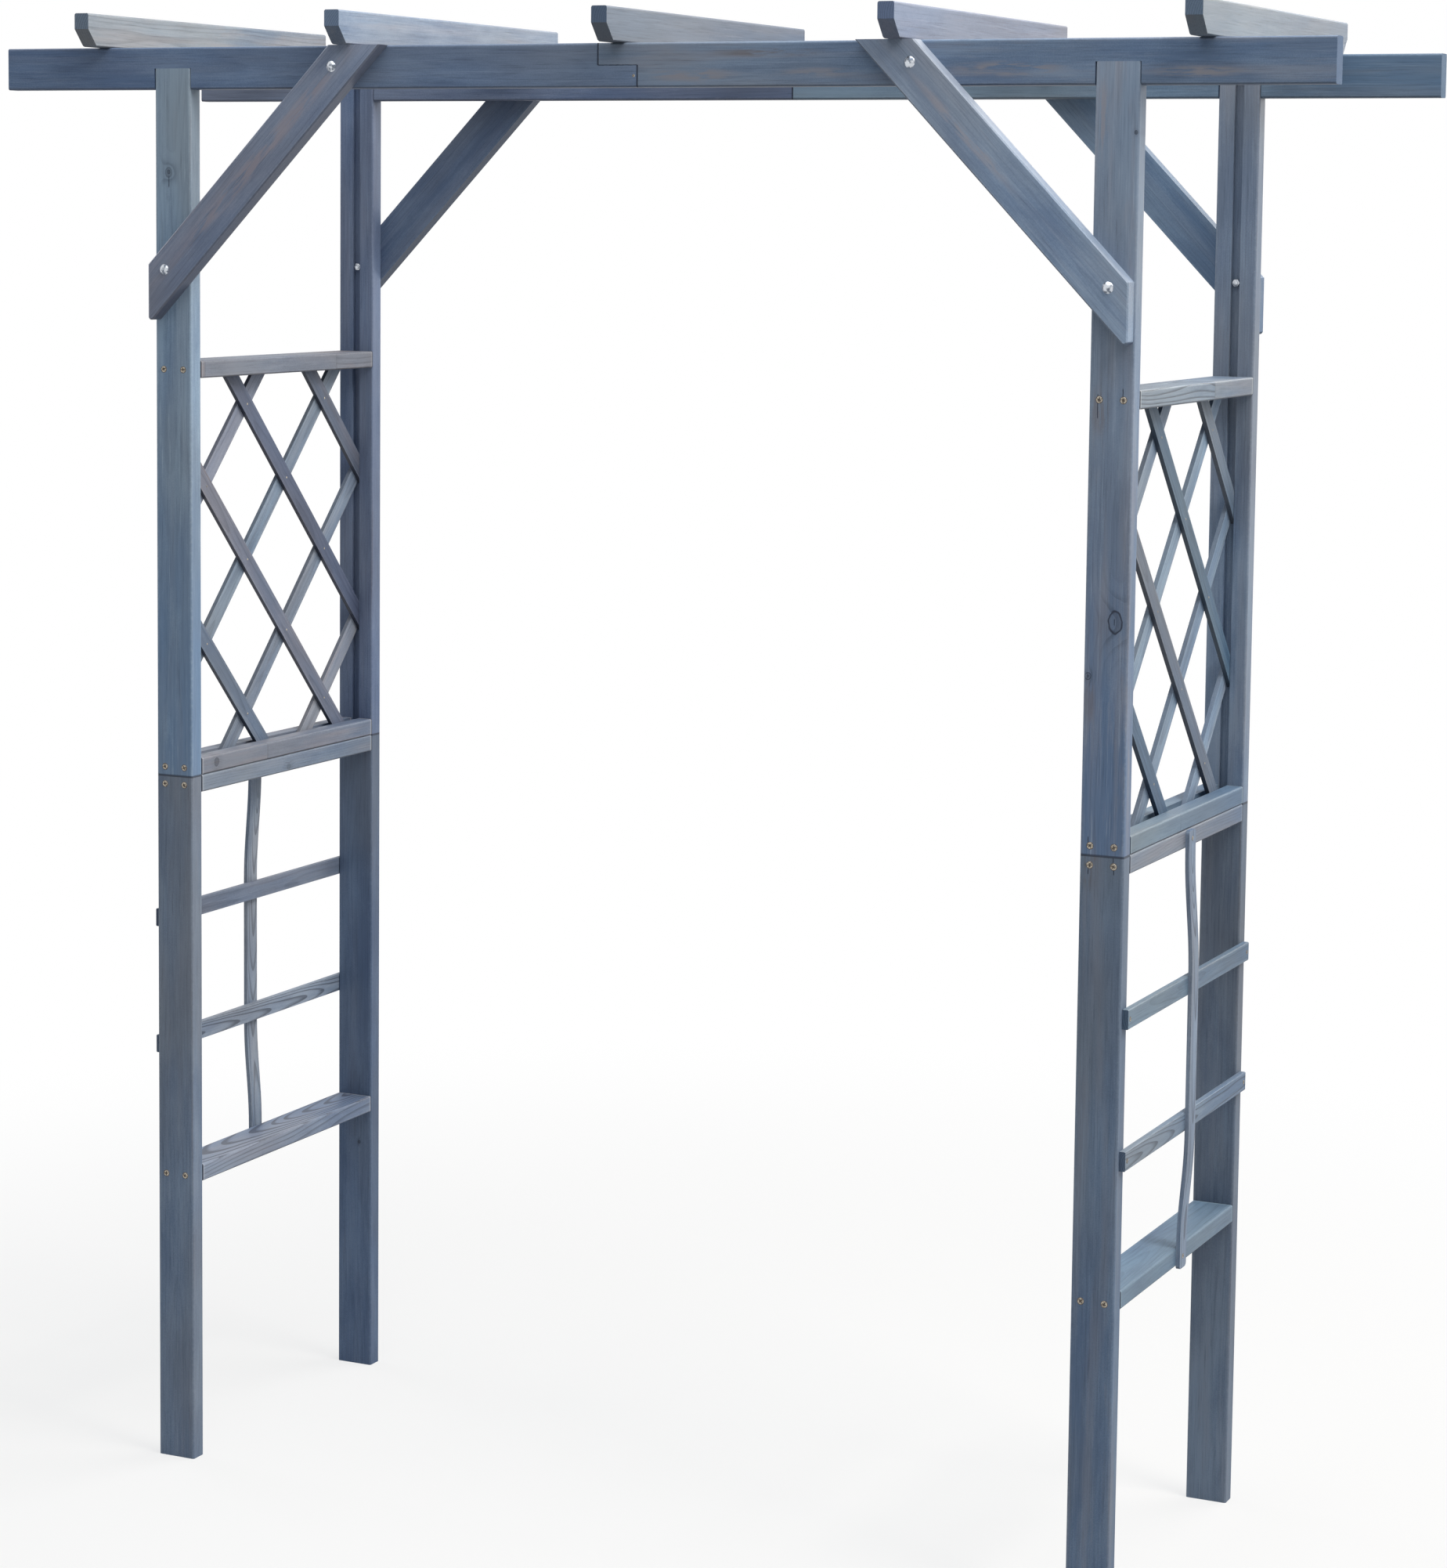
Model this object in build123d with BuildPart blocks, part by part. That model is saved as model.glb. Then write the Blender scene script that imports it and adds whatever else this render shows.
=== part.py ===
from build123d import *
import os
from math import asin, atan2, cos, degrees, sin, tan

os.makedirs("parts", exist_ok=True)

# Wooden trellis arch: two side frames that a person walks between, tied at the
# top by two long beams with cross rafters. X runs across the walkway, Y runs
# through it, Z is up. The origin is on the ground in the middle of the arch.
# All sizes are in millimetres.

# ---- timber sections --------------------------------------------------------
POST_WIDTH = 64.0            # post size across the walkway (X)
POST_DEPTH = 28.0            # post size through the walkway (Y)
RAIL_THICKNESS = 27.0        # height of the rails, which lie flat
BEAM_HEIGHT = 64.0
RAFTER_THICKNESS = 25.0
RAFTER_HEIGHT = 50.0
BRACE_WIDTH = 64.0
BRACE_THICKNESS = 25.0
LATH_WIDTH = 28.0            # diagonal lattice laths
LATH_THICKNESS = 6.5
SLAT_HEIGHT = 28.0           # level slats of the ladder part
SLAT_THICKNESS = 9.0
UPRIGHT_WIDTH = 30.0         # bent upright in the middle of the ladder part
UPRIGHT_THICKNESS = 6.0
TIMBER_EDGE = 3.0            # planed round on the long edges
BEAM_EDGE = 3.5
SLAT_EDGE = 1.2

# ---- layout -----------------------------------------------------------------
WALKWAY_WIDTH = 1458.0       # clear width between the side frames
FRAME_CLEAR_DEPTH = 519.0    # clear depth between a front and a back post
LOWER_POST_LENGTH = 1088.0
HEAD_HEIGHT = 2147.0         # underside of the beams
BEAM_OVERHANG = 272.0        # beam past the outer face of the posts
RAFTER_OVERHANG = 60.0       # rafter past the outer face of the posts
RAFTER_SPACING = 443.0
RAFTER_COUNT = 5
RAFTER_TIP = 24.0            # upright part of a rafter's end
RAFTER_SLANT = 23.0          # level run of the slanted cut under it
PANEL_OPENING = 591.0        # clear height between the two panel rails
LADDER_TOP_GAP = 187.0       # clear heights of the ladder part, from its top rail down
LADDER_MIDDLE_GAP = 173.0
LADDER_LOW_GAP = 176.0
SLAT_INSET = 8.5             # slat end back from the outer face of the post
UPRIGHT_TAIL = 4.0           # upright past the underside of the low rail
UPRIGHT_HEAD_GAP = 1.0       # upright below the joint of the posts
UPRIGHT_EASE = 34.0          # from the seat of a bend to its corner
UPRIGHT_CORNER = 6.0
BRACE_REACH = 296.0          # bolt to bolt across the walkway
BRACE_RISE = 306.0           # bolt to bolt in height
BRACE_BOLT_OFFSET = 5.5      # bolts off the brace's middle, towards its upper edge
BRACE_SETBACK = 2.5          # plumb cut back from the outer face of the post
BRACE_TIP = 5.0              # rounding of the low tip
BRACE_EDGE = 2.0             # bevel along the long outer edges

# ---- joints between timbers ---------------------------------------------------
NOTCH_DEPTH = 32.0           # post head let into the beam
NOTCH_CLEARANCE = 1.0        # each side of the post head
LAP_LENGTH = 66.0            # half-lap in the middle of each beam
LAP_HEIGHT = 32.0            # height of the lower tongue
LAP_END_GAP = 1.0            # open joint at each tongue end
GROOVE_DEPTH = 9.0
LATH_SIDE_CLEARANCE = 0.5    # lattice in the groove, each side
LATH_END_CLEARANCE = 0.3     # lath end to the bottom of the groove
LATTICE_STEP_Y = 117.5       # half a diamond through the walkway
LATTICE_STEP_Z = 124.0       # half a diamond in height
LATTICE_SHIFT = 30.5         # lattice pattern off the middle, towards the back

# ---- fasteners ----------------------------------------------------------------
BOLT_RADIUS = 3.0            # carriage bolts through brace and post or beam
BOLT_HEAD_RADIUS = 8.2
BOLT_HEAD_HEIGHT = 3.6
BOLT_NECK = 6.0              # square neck under the head
BOLT_NECK_LENGTH = 4.0
BOLT_END = 1.5               # thread past the nut
NUT_ACROSS_FLATS = 10.0
NUT_THICKNESS = 5.0
HOLE_CLEARANCE = 0.1         # all round a bolt in timber or nut

# ---- positions that follow ----------------------------------------------------
FRAME_X = (WALKWAY_WIDTH + POST_WIDTH) / 2            # middle of a side frame
FACE_X = FRAME_X + POST_WIDTH / 2                     # outer face of a side frame
INNER_Y = FRAME_CLEAR_DEPTH / 2                       # inner face of a post
POST_Y = INNER_Y + POST_DEPTH / 2
FACE_Y = INNER_Y + POST_DEPTH                         # outer face of a post
POST_TOP = HEAD_HEIGHT + NOTCH_DEPTH
BEAM_TOP = HEAD_HEIGHT + BEAM_HEIGHT
BEAM_END = FACE_X + BEAM_OVERHANG
RAFTER_END = FACE_Y + RAFTER_OVERHANG
GROOVE_WIDTH = 2 * (LATH_THICKNESS + LATH_SIDE_CLEARANCE)
PANEL_BOTTOM = LOWER_POST_LENGTH + RAIL_THICKNESS     # top of the panel's bottom rail
PANEL_TOP = PANEL_BOTTOM + PANEL_OPENING              # underside of its top rail
LADDER_TOP = LOWER_POST_LENGTH - RAIL_THICKNESS       # underside of the ladder's top rail
UPPER_SLAT = LADDER_TOP - LADDER_TOP_GAP - SLAT_HEIGHT        # undersides of the slats
LOWER_SLAT = UPPER_SLAT - LADDER_MIDDLE_GAP - SLAT_HEIGHT
LOW_RAIL = LOWER_SLAT - LADDER_LOW_GAP - RAIL_THICKNESS       # underside of the low rail
SLAT_END = FACE_Y - SLAT_INSET
BEAM_BOLT_X = FRAME_X - BRACE_REACH
BEAM_BOLT_Z = HEAD_HEIGHT + BEAM_HEIGHT / 2
POST_BOLT_Z = BEAM_BOLT_Z - BRACE_RISE
BRACE_ANGLE = atan2(BRACE_RISE, BRACE_REACH)            # from the level
BRACE_DROP = BRACE_BOLT_OFFSET / cos(BRACE_ANGLE)     # brace's middle straight under its bolts
PLUMB_CUT = BRACE_WIDTH / cos(BRACE_ANGLE)            # length of the end cut at the post
LEVEL_CUT = BRACE_WIDTH / sin(BRACE_ANGLE)            # length of the end cut at the beam
PLUMB_X = FACE_X - BRACE_SETBACK
POST_GRIP = BRACE_THICKNESS + POST_DEPTH - GROOVE_DEPTH    # timber under a post bolt
BEAM_GRIP = BRACE_THICKNESS + POST_DEPTH                   # timber under a beam bolt
DOME_RADIUS = (BOLT_HEAD_RADIUS**2 + BOLT_HEAD_HEIGHT**2) / (2 * BOLT_HEAD_HEIGHT)
DOME_BASE = BOLT_HEAD_HEIGHT - DOME_RADIUS            # height of the dome's centre
DOME_ANGLE = asin(BOLT_HEAD_RADIUS / DOME_RADIUS)

SIDES = {"left": -1, "right": 1}                      # along X
ENDS = {"front": -1, "back": 1}                       # along Y

# name of each rail: (underside, groove: 1 on top, -1 below, 0 none)
RAILS = {
    "panel_top_rail": (PANEL_TOP, -1),
    "panel_bottom_rail": (LOWER_POST_LENGTH, 1),
    "ladder_top_rail": (LADDER_TOP, 0),
    "low_rail": (LOW_RAIL, 0),
}
SLATS = {"lower_slat": LOWER_SLAT, "upper_slat": UPPER_SLAT}


def save(builder, name):
    """Label one finished piece and write it to its own STEP file."""
    builder.part.label = name
    export_step(builder.part, f"parts/{name}.step")


def outward_y(x, end, z, depth=0.0):
    """Seat on the outer Y face of a frame, looking out of the timber."""
    return Plane(origin=(x, end * (FACE_Y + depth), z), x_dir=(1, 0, 0), z_dir=(0, end, 0))


def post_bolt_seat(side, end):
    """Seat of a brace's lower bolt, on the brace's outer face in line with the post."""
    return outward_y(side * FRAME_X, end, POST_BOLT_Z, BRACE_THICKNESS)


def beam_bolt_seat(side, end):
    """Seat of a brace's upper bolt, on the brace's outer face in line with the beam."""
    return outward_y(side * BEAM_BOLT_X, end, BEAM_BOLT_Z, BRACE_THICKNESS)


def make_carriage_bolt(length):
    """Domed carriage bolt with a square neck, head on top of the origin."""
    with BuildPart() as bolt:
        with BuildSketch(Plane.XZ):
            with BuildLine():
                # the dome is an arc of the circle through its rim and its crown
                Line((0, 0), (BOLT_HEAD_RADIUS, 0))
                ThreePointArc(
                    (BOLT_HEAD_RADIUS, 0),
                    (DOME_RADIUS * sin(DOME_ANGLE / 2), DOME_BASE + DOME_RADIUS * cos(DOME_ANGLE / 2)),
                    (0, BOLT_HEAD_HEIGHT),
                )
                Line((0, BOLT_HEAD_HEIGHT), (0, 0))
            make_face()
        revolve(axis=Axis.Z)
        with BuildSketch():
            Rectangle(BOLT_NECK, BOLT_NECK)
        extrude(amount=-BOLT_NECK_LENGTH)
        with BuildSketch():
            Circle(BOLT_RADIUS)
        extrude(amount=-length)
    return bolt.part


def make_bolt_hole():
    """Cutter for a bolt's hole with the square sinking for its neck."""
    with BuildPart() as hole:
        with BuildSketch():
            Circle(BOLT_RADIUS + HOLE_CLEARANCE)
        extrude(amount=-(BEAM_GRIP + NUT_THICKNESS))
        with BuildSketch():
            Rectangle(BOLT_NECK + 2 * HOLE_CLEARANCE, BOLT_NECK + 2 * HOLE_CLEARANCE)
        extrude(amount=-(BOLT_NECK_LENGTH + HOLE_CLEARANCE))
    return hole.part


bolt_hole = make_bolt_hole()
post_bolt = make_carriage_bolt(POST_GRIP + NUT_THICKNESS + BOLT_END)
beam_bolt = make_carriage_bolt(BEAM_GRIP + NUT_THICKNESS + BOLT_END)
with BuildPart() as nut_form:
    with BuildSketch():
        RegularPolygon(NUT_ACROSS_FLATS / 2, 6, major_radius=False)
        Circle(BOLT_RADIUS + HOLE_CLEARANCE, mode=Mode.SUBTRACT)
    extrude(amount=-NUT_THICKNESS)
nut = nut_form.part

CORNERS = [(side, end) for side in SIDES.values() for end in ENDS.values()]

# ---- posts: a plain lower length under a grooved upper length ------------------
for side_name, side in SIDES.items():
    for end_name, end in ENDS.items():
        with BuildPart() as lower_post:
            with BuildSketch(Plane((side * FRAME_X, end * POST_Y, 0))) as foot_section:
                Rectangle(POST_WIDTH, POST_DEPTH)
                fillet(foot_section.vertices(), TIMBER_EDGE)
            extrude(amount=LOWER_POST_LENGTH)
        save(lower_post, f"lower_post_{side_name}_{end_name}")

        with BuildPart() as upper_post:
            joint = Plane((side * FRAME_X, end * POST_Y, LOWER_POST_LENGTH))
            with BuildSketch(joint) as section:
                Rectangle(POST_WIDTH, POST_DEPTH)
                fillet(section.vertices(), TIMBER_EDGE)
            extrude(amount=POST_TOP - LOWER_POST_LENGTH)
            with BuildSketch(joint):
                with Locations((0, -end * (POST_DEPTH - GROOVE_DEPTH) / 2)):
                    Rectangle(GROOVE_WIDTH, GROOVE_DEPTH)
            extrude(amount=POST_TOP - LOWER_POST_LENGTH, mode=Mode.SUBTRACT)
            with Locations(post_bolt_seat(side, end)):
                add(bolt_hole, mode=Mode.SUBTRACT)
        save(upper_post, f"upper_post_{side_name}_{end_name}")

# ---- rails between the posts; the panel's own two are grooved for the lattice --
for side_name, side in SIDES.items():
    for rail, (underside, groove) in RAILS.items():
        with BuildPart() as rail_part:
            middle = underside + RAIL_THICKNESS / 2
            start = Plane(
                origin=(side * FRAME_X, -INNER_Y, middle), x_dir=(1, 0, 0), z_dir=(0, 1, 0)
            )
            with BuildSketch(start) as rail_section:
                Rectangle(POST_WIDTH, RAIL_THICKNESS)
                fillet(rail_section.vertices(), TIMBER_EDGE)
            extrude(amount=FRAME_CLEAR_DEPTH)
            if groove:
                # the start plane's local Y points down
                with BuildSketch(start):
                    with Locations((0, -groove * (RAIL_THICKNESS - GROOVE_DEPTH) / 2)):
                        Rectangle(GROOVE_WIDTH, GROOVE_DEPTH)
                extrude(amount=FRAME_CLEAR_DEPTH, mode=Mode.SUBTRACT)
        save(rail_part, f"{rail}_{side_name}")

# ---- lattice: two layers of diagonal laths, housed in the grooves all round ----
window_half_y = INNER_Y + GROOVE_DEPTH - LATH_END_CLEARANCE
window_half_z = PANEL_OPENING / 2 + GROOVE_DEPTH - LATH_END_CLEARANCE
window_z = PANEL_BOTTOM + PANEL_OPENING / 2
lath_angle = degrees(atan2(LATTICE_STEP_Z, LATTICE_STEP_Y))
lath_reach = 2 * (window_half_y + window_half_z)
# each lath is a straight line y / STEP_Y + slope * z / STEP_Z = count
LATHS = {"1": 3, "2": 1, "3": -1, "4": -3}
for side_name, side in SIDES.items():
    for layer, slope in {"falling": 1, "rising": -1}.items():
        for number, count in LATHS.items():
            with BuildPart() as lath:
                # falling laths lie on the +X side of the middle, rising laths behind them
                with BuildSketch(Plane.YZ.offset(side * FRAME_X)):
                    with Locations(
                        Location(
                            (LATTICE_SHIFT + count * LATTICE_STEP_Y, window_z, 0),
                            (0, 0, -slope * lath_angle),
                        )
                    ):
                        Rectangle(lath_reach, LATH_WIDTH)
                    with Locations((0, window_z)):
                        Rectangle(2 * window_half_y, 2 * window_half_z, mode=Mode.INTERSECT)
                extrude(amount=slope * LATH_THICKNESS)
            save(lath, f"{layer}_lath_{side_name}_{number}")

# ---- ladder part: level slats across the posts, and one bent upright over them --
for side_name, side in SIDES.items():
    for slat, underside in SLATS.items():
        with BuildPart() as level_slat:
            with BuildSketch(Plane.YZ.offset(side * FACE_X)):
                with Locations((0, underside + SLAT_HEIGHT / 2)):
                    Rectangle(2 * SLAT_END, SLAT_HEIGHT)
            extrude(amount=side * SLAT_THICKNESS)
            outer_face = level_slat.faces().sort_by(Axis.X)[-1 if side > 0 else 0]
            chamfer(outer_face.edges().filter_by(Axis.Y), SLAT_EDGE)
        save(level_slat, f"{slat}_{side_name}")

    with BuildPart() as upright:
        near = side * (FACE_X + UPRIGHT_THICKNESS / 2)
        far = side * (FACE_X + SLAT_THICKNESS + UPRIGHT_THICKNESS / 2)
        foot_z = LOW_RAIL - UPRIGHT_TAIL
        head_z = LOWER_POST_LENGTH - UPRIGHT_HEAD_GAP
        # each bend starts level with the edge of a rail or slat and eases past its corner
        low_radius = UPRIGHT_EASE / tan(atan2(SLAT_THICKNESS, LADDER_LOW_GAP - 2 * UPRIGHT_EASE) / 2)
        top_radius = UPRIGHT_EASE / tan(atan2(SLAT_THICKNESS, LADDER_TOP_GAP - 2 * UPRIGHT_EASE) / 2)
        with BuildLine() as bend:
            FilletPolyline(
                (near, 0, foot_z),
                (near, 0, LOWER_SLAT - LADDER_LOW_GAP + UPRIGHT_EASE),
                (far, 0, LOWER_SLAT - UPRIGHT_EASE),
                (far, 0, UPPER_SLAT + SLAT_HEIGHT + UPRIGHT_EASE),
                (near, 0, LADDER_TOP - UPRIGHT_EASE),
                (near, 0, head_z),
                radius=[low_radius, low_radius, top_radius, top_radius],
            )
        with BuildSketch(Plane((near, 0, foot_z))):
            Rectangle(UPRIGHT_THICKNESS, UPRIGHT_WIDTH)
        sweep(path=bend.line)
        end_faces = upright.faces().filter_by(Axis.Z)
        fillet(end_faces.edges().filter_by(Axis.X).edges(), UPRIGHT_CORNER)
    save(upright, f"bent_upright_{side_name}")

# ---- beams: notched over the post heads, half-lapped in the middle --------------
for end_name, end in ENDS.items():
    outer = Plane(origin=(0, end * FACE_Y, 0), x_dir=(1, 0, 0), z_dir=(0, -1, 0))
    for side_name, side in SIDES.items():
        lap = LAP_LENGTH / 2
        split = HEAD_HEIGHT + LAP_HEIGHT
        # the left half ends in a lower tongue, the right half in an upper tongue
        full_side, tongue_side = (HEAD_HEIGHT, BEAM_TOP), (HEAD_HEIGHT, split)
        if side > 0:
            full_side, tongue_side = (BEAM_TOP, HEAD_HEIGHT), (BEAM_TOP, split)
        tongue_end = -side * (lap - LAP_END_GAP)
        with BuildPart() as beam:
            with BuildSketch(outer):
                with BuildLine():
                    Polyline(
                        (side * BEAM_END, full_side[0]),
                        (tongue_end, tongue_side[0]),
                        (tongue_end, tongue_side[1]),
                        (side * lap, tongue_side[1]),
                        (side * lap, full_side[1]),
                        (side * BEAM_END, full_side[1]),
                        close=True,
                    )
                make_face()
            extrude(amount=end * POST_DEPTH)
            long_edges = beam.edges().filter_by(Axis.X)
            top_edges = long_edges.filter_by_position(Axis.Z, BEAM_TOP - 0.01, BEAM_TOP + 0.01)
            low_edges = long_edges.filter_by_position(
                Axis.Z, HEAD_HEIGHT - 0.01, HEAD_HEIGHT + 0.01
            )
            fillet(top_edges + low_edges, BEAM_EDGE)
            with BuildSketch(outer):
                with Locations((side * FRAME_X, HEAD_HEIGHT)):
                    Rectangle(POST_WIDTH + 2 * NOTCH_CLEARANCE, 2 * NOTCH_DEPTH)
            extrude(amount=end * POST_DEPTH, mode=Mode.SUBTRACT)
            with Locations(beam_bolt_seat(side, end)):
                add(bolt_hole, mode=Mode.SUBTRACT)
        save(beam, f"beam_{end_name}_{side_name}")

# ---- rafters: laid across both beams, each end undercut by a slant ---------------
for number in range(1, RAFTER_COUNT + 1):
    x = RAFTER_SPACING * (number - (RAFTER_COUNT + 1) / 2)
    with BuildPart() as rafter:
        with BuildSketch(Plane.YZ.offset(x - RAFTER_THICKNESS / 2)):
            with BuildLine():
                Polyline(
                    (-RAFTER_END, BEAM_TOP + RAFTER_HEIGHT),
                    (-RAFTER_END, BEAM_TOP + RAFTER_HEIGHT - RAFTER_TIP),
                    (-RAFTER_END + RAFTER_SLANT, BEAM_TOP),
                    (RAFTER_END - RAFTER_SLANT, BEAM_TOP),
                    (RAFTER_END, BEAM_TOP + RAFTER_HEIGHT - RAFTER_TIP),
                    (RAFTER_END, BEAM_TOP + RAFTER_HEIGHT),
                    close=True,
                )
            make_face()
        extrude(amount=RAFTER_THICKNESS)
        fillet(rafter.edges().filter_by(Axis.Y), TIMBER_EDGE)
    save(rafter, f"rafter_{number}")

# ---- braces: flat slanting boards, cut plumb beside the post's outer face and level --
# ---- at the top of the beam --------------------------------------------------------
brace_slope = BRACE_RISE / BRACE_REACH
# the brace's middle at its plumb cut and at its level cut
plumb_z = POST_BOLT_Z - BRACE_DROP - (PLUMB_X - FRAME_X) * brace_slope
level_x = BEAM_BOLT_X - (BEAM_TOP - BEAM_BOLT_Z + BRACE_DROP) / brace_slope
for end_name, end in ENDS.items():
    outer = Plane(origin=(0, end * FACE_Y, 0), x_dir=(1, 0, 0), z_dir=(0, -1, 0))
    for side_name, side in SIDES.items():
        with BuildPart() as brace:
            with BuildSketch(outer):
                with BuildLine():
                    Polyline(
                        (side * PLUMB_X, plumb_z - PLUMB_CUT / 2),
                        (side * PLUMB_X, plumb_z + PLUMB_CUT / 2),
                        (side * (level_x + LEVEL_CUT / 2), BEAM_TOP),
                        (side * (level_x - LEVEL_CUT / 2), BEAM_TOP),
                        close=True,
                    )
                make_face()
            extrude(amount=-end * BRACE_THICKNESS)
            fillet(brace.edges().filter_by(Axis.Y).sort_by(Axis.Z)[0], BRACE_TIP)
            outer_face = brace.faces().sort_by(Axis.Y)[-1 if end > 0 else 0]
            chamfer(outer_face.edges().sort_by(SortBy.LENGTH)[-2:], BRACE_EDGE)
            with Locations(post_bolt_seat(side, end), beam_bolt_seat(side, end)):
                add(bolt_hole, mode=Mode.SUBTRACT)
        save(brace, f"brace_{end_name}_{side_name}")

# ---- fasteners: like ones share one group of separate solids ---------------------
with BuildPart() as post_carriage_bolts:
    with Locations(*[post_bolt_seat(side, end) for side, end in CORNERS]):
        add(post_bolt)
save(post_carriage_bolts, "post_carriage_bolts")

with BuildPart() as beam_carriage_bolts:
    with Locations(*[beam_bolt_seat(side, end) for side, end in CORNERS]):
        add(beam_bolt)
save(beam_carriage_bolts, "beam_carriage_bolts")

with BuildPart() as bolt_nuts:
    # a post's nut lies in the bottom of its groove, a beam's nut on the inner face
    with Locations(*[post_bolt_seat(side, end).offset(-POST_GRIP) for side, end in CORNERS]):
        add(nut)
    with Locations(*[beam_bolt_seat(side, end).offset(-BEAM_GRIP) for side, end in CORNERS]):
        add(nut)
save(bolt_nuts, "bolt_nuts")
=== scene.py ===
"""Finishes, small fasteners and studio for a free-standing timber trellis arch.

The arch is planed softwood under a thin blue-grey glaze. Every board gets grain that
runs along it, its own rings, clouds of glaze, and worn edges, and some get knots and
finger joints. Screws and pins that are too small for the construction model are built
here. All lengths are in metres, in the frame of the construction model: X across the
walkway, Y through it, Z up.
"""

from __future__ import annotations

import logging
import math
import random
from dataclasses import dataclass, field, replace
from enum import Enum
from typing import Mapping, Sequence, Union

import bmesh
import bpy
from mathutils import Matrix, Vector

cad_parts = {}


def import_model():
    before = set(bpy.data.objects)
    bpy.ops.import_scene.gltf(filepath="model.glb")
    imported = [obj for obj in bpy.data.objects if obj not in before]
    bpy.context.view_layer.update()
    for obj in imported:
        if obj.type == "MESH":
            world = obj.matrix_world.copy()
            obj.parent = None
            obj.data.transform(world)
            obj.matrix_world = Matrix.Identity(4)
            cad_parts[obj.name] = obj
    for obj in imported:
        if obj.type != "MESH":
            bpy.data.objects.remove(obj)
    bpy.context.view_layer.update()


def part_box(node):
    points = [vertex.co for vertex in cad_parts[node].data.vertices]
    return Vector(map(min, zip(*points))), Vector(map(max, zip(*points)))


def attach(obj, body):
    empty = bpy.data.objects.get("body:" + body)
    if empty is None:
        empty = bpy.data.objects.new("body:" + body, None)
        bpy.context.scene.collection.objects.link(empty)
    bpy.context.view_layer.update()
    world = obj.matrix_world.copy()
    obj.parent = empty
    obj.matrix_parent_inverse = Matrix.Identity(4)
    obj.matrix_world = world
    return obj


LOG = logging.getLogger("arch")
BODY = "root"

Colour = tuple[float, float, float, float]
Number = Union[int, float, "Signal"]

AXIS_X = Vector((1.0, 0.0, 0.0))
AXIS_Y = Vector((0.0, 1.0, 0.0))
AXIS_Z = Vector((0.0, 0.0, 1.0))
WHITE = (1.0, 1.0, 1.0, 1.0)

RAILS = ("panel_top_rail", "panel_bottom_rail", "ladder_top_rail", "low_rail")
SLATS = ("lower_slat", "upper_slat")
LATH_COUNT = 4
RAFTER_COUNT = 5

BOTH = (-1, 1)  # the two ends of a board, by their sign along the grain
ENDLESS = 2.0  # a half length past either end of any board, where no end needs marking
MOST_TURN = 1.5  # how far a screw's cross may be turned, in radians
RING_START = -math.radians(22.5)  # turns a ring's points towards the corners of a cross recess


class Side(Enum):
    """The two side frames, by the sign of their X."""

    LEFT = -1
    RIGHT = 1


class End(Enum):
    """The two ends of the walkway, by the sign of their Y."""

    FRONT = -1
    BACK = 1


class Slope(Enum):
    """Which way a lattice lath runs from front to back, by its layer's sign in X."""

    FALLING = 1
    RISING = -1


def paint(red: int, green: int, blue: int) -> Colour:
    """Turns a paint-chart colour into the linear colour that shaders use.

    Args:
        red: Red from 0 to 255.
        green: Green from 0 to 255.
        blue: Blue from 0 to 255.

    Returns:
        The linear colour with an alpha of one.
    """
    linear = [((c / 255 + 0.055) / 1.055) ** 2.4 for c in (red, green, blue)]
    return (linear[0], linear[1], linear[2], 1.0)


# ---------------------------------------------------------------- shader maths


@dataclass(frozen=True)
class Signal:
    """One number that changes over a surface, used in plain Python expressions."""

    recipe: "Recipe"
    socket: bpy.types.NodeSocket

    def maths(self, operation: str, first: Number, second: Number = 0.0) -> "Signal":
        """Adds one Math node.

        Args:
            operation: The Math node's operation.
            first: Its first value.
            second: Its second value.

        Returns:
            The node's result.
        """
        made = self.recipe.node("ShaderNodeMath", {"operation": operation}, {0: first, 1: second})
        return Signal(self.recipe, made.outputs[0])

    def __add__(self, other: Number) -> "Signal":
        """Sum."""
        return self.maths("ADD", self, other)

    def __radd__(self, other: Number) -> "Signal":
        """Sum with a plain number first."""
        return self.maths("ADD", other, self)

    def __sub__(self, other: Number) -> "Signal":
        """Difference."""
        return self.maths("SUBTRACT", self, other)

    def __rsub__(self, other: Number) -> "Signal":
        """Difference with a plain number first."""
        return self.maths("SUBTRACT", other, self)

    def __mul__(self, other: Number) -> "Signal":
        """Product."""
        return self.maths("MULTIPLY", self, other)

    def __rmul__(self, other: Number) -> "Signal":
        """Product with a plain number first."""
        return self.maths("MULTIPLY", other, self)

    def __truediv__(self, other: Number) -> "Signal":
        """Quotient."""
        return self.maths("DIVIDE", self, other)

    def __rtruediv__(self, other: Number) -> "Signal":
        """Quotient with a plain number first."""
        return self.maths("DIVIDE", other, self)

    def __abs__(self) -> "Signal":
        """Size without sign."""
        return self.maths("ABSOLUTE", self)

    def __gt__(self, other: Number) -> "Signal":
        """One where this is greater, else nought."""
        return self.maths("GREATER_THAN", self, other)

    def part(self) -> "Signal":
        """The part after the decimal point."""
        return self.maths("FRACT", self)

    def most(self, other: Number) -> "Signal":
        """The greater of two."""
        return self.maths("MAXIMUM", self, other)

    def ramp(self, low: float, high: float) -> "Signal":
        """Smooth step from nought at low to one at high.

        Args:
            low: Where the step starts.
            high: Where it ends, which may lie below low.

        Returns:
            The stepped value.
        """
        made = self.recipe.node(
            "ShaderNodeMapRange",
            {"interpolation_type": "SMOOTHSTEP"},
            {"Value": self, "From Min": low, "From Max": high},
        )
        return Signal(self.recipe, made.outputs["Result"])


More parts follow.
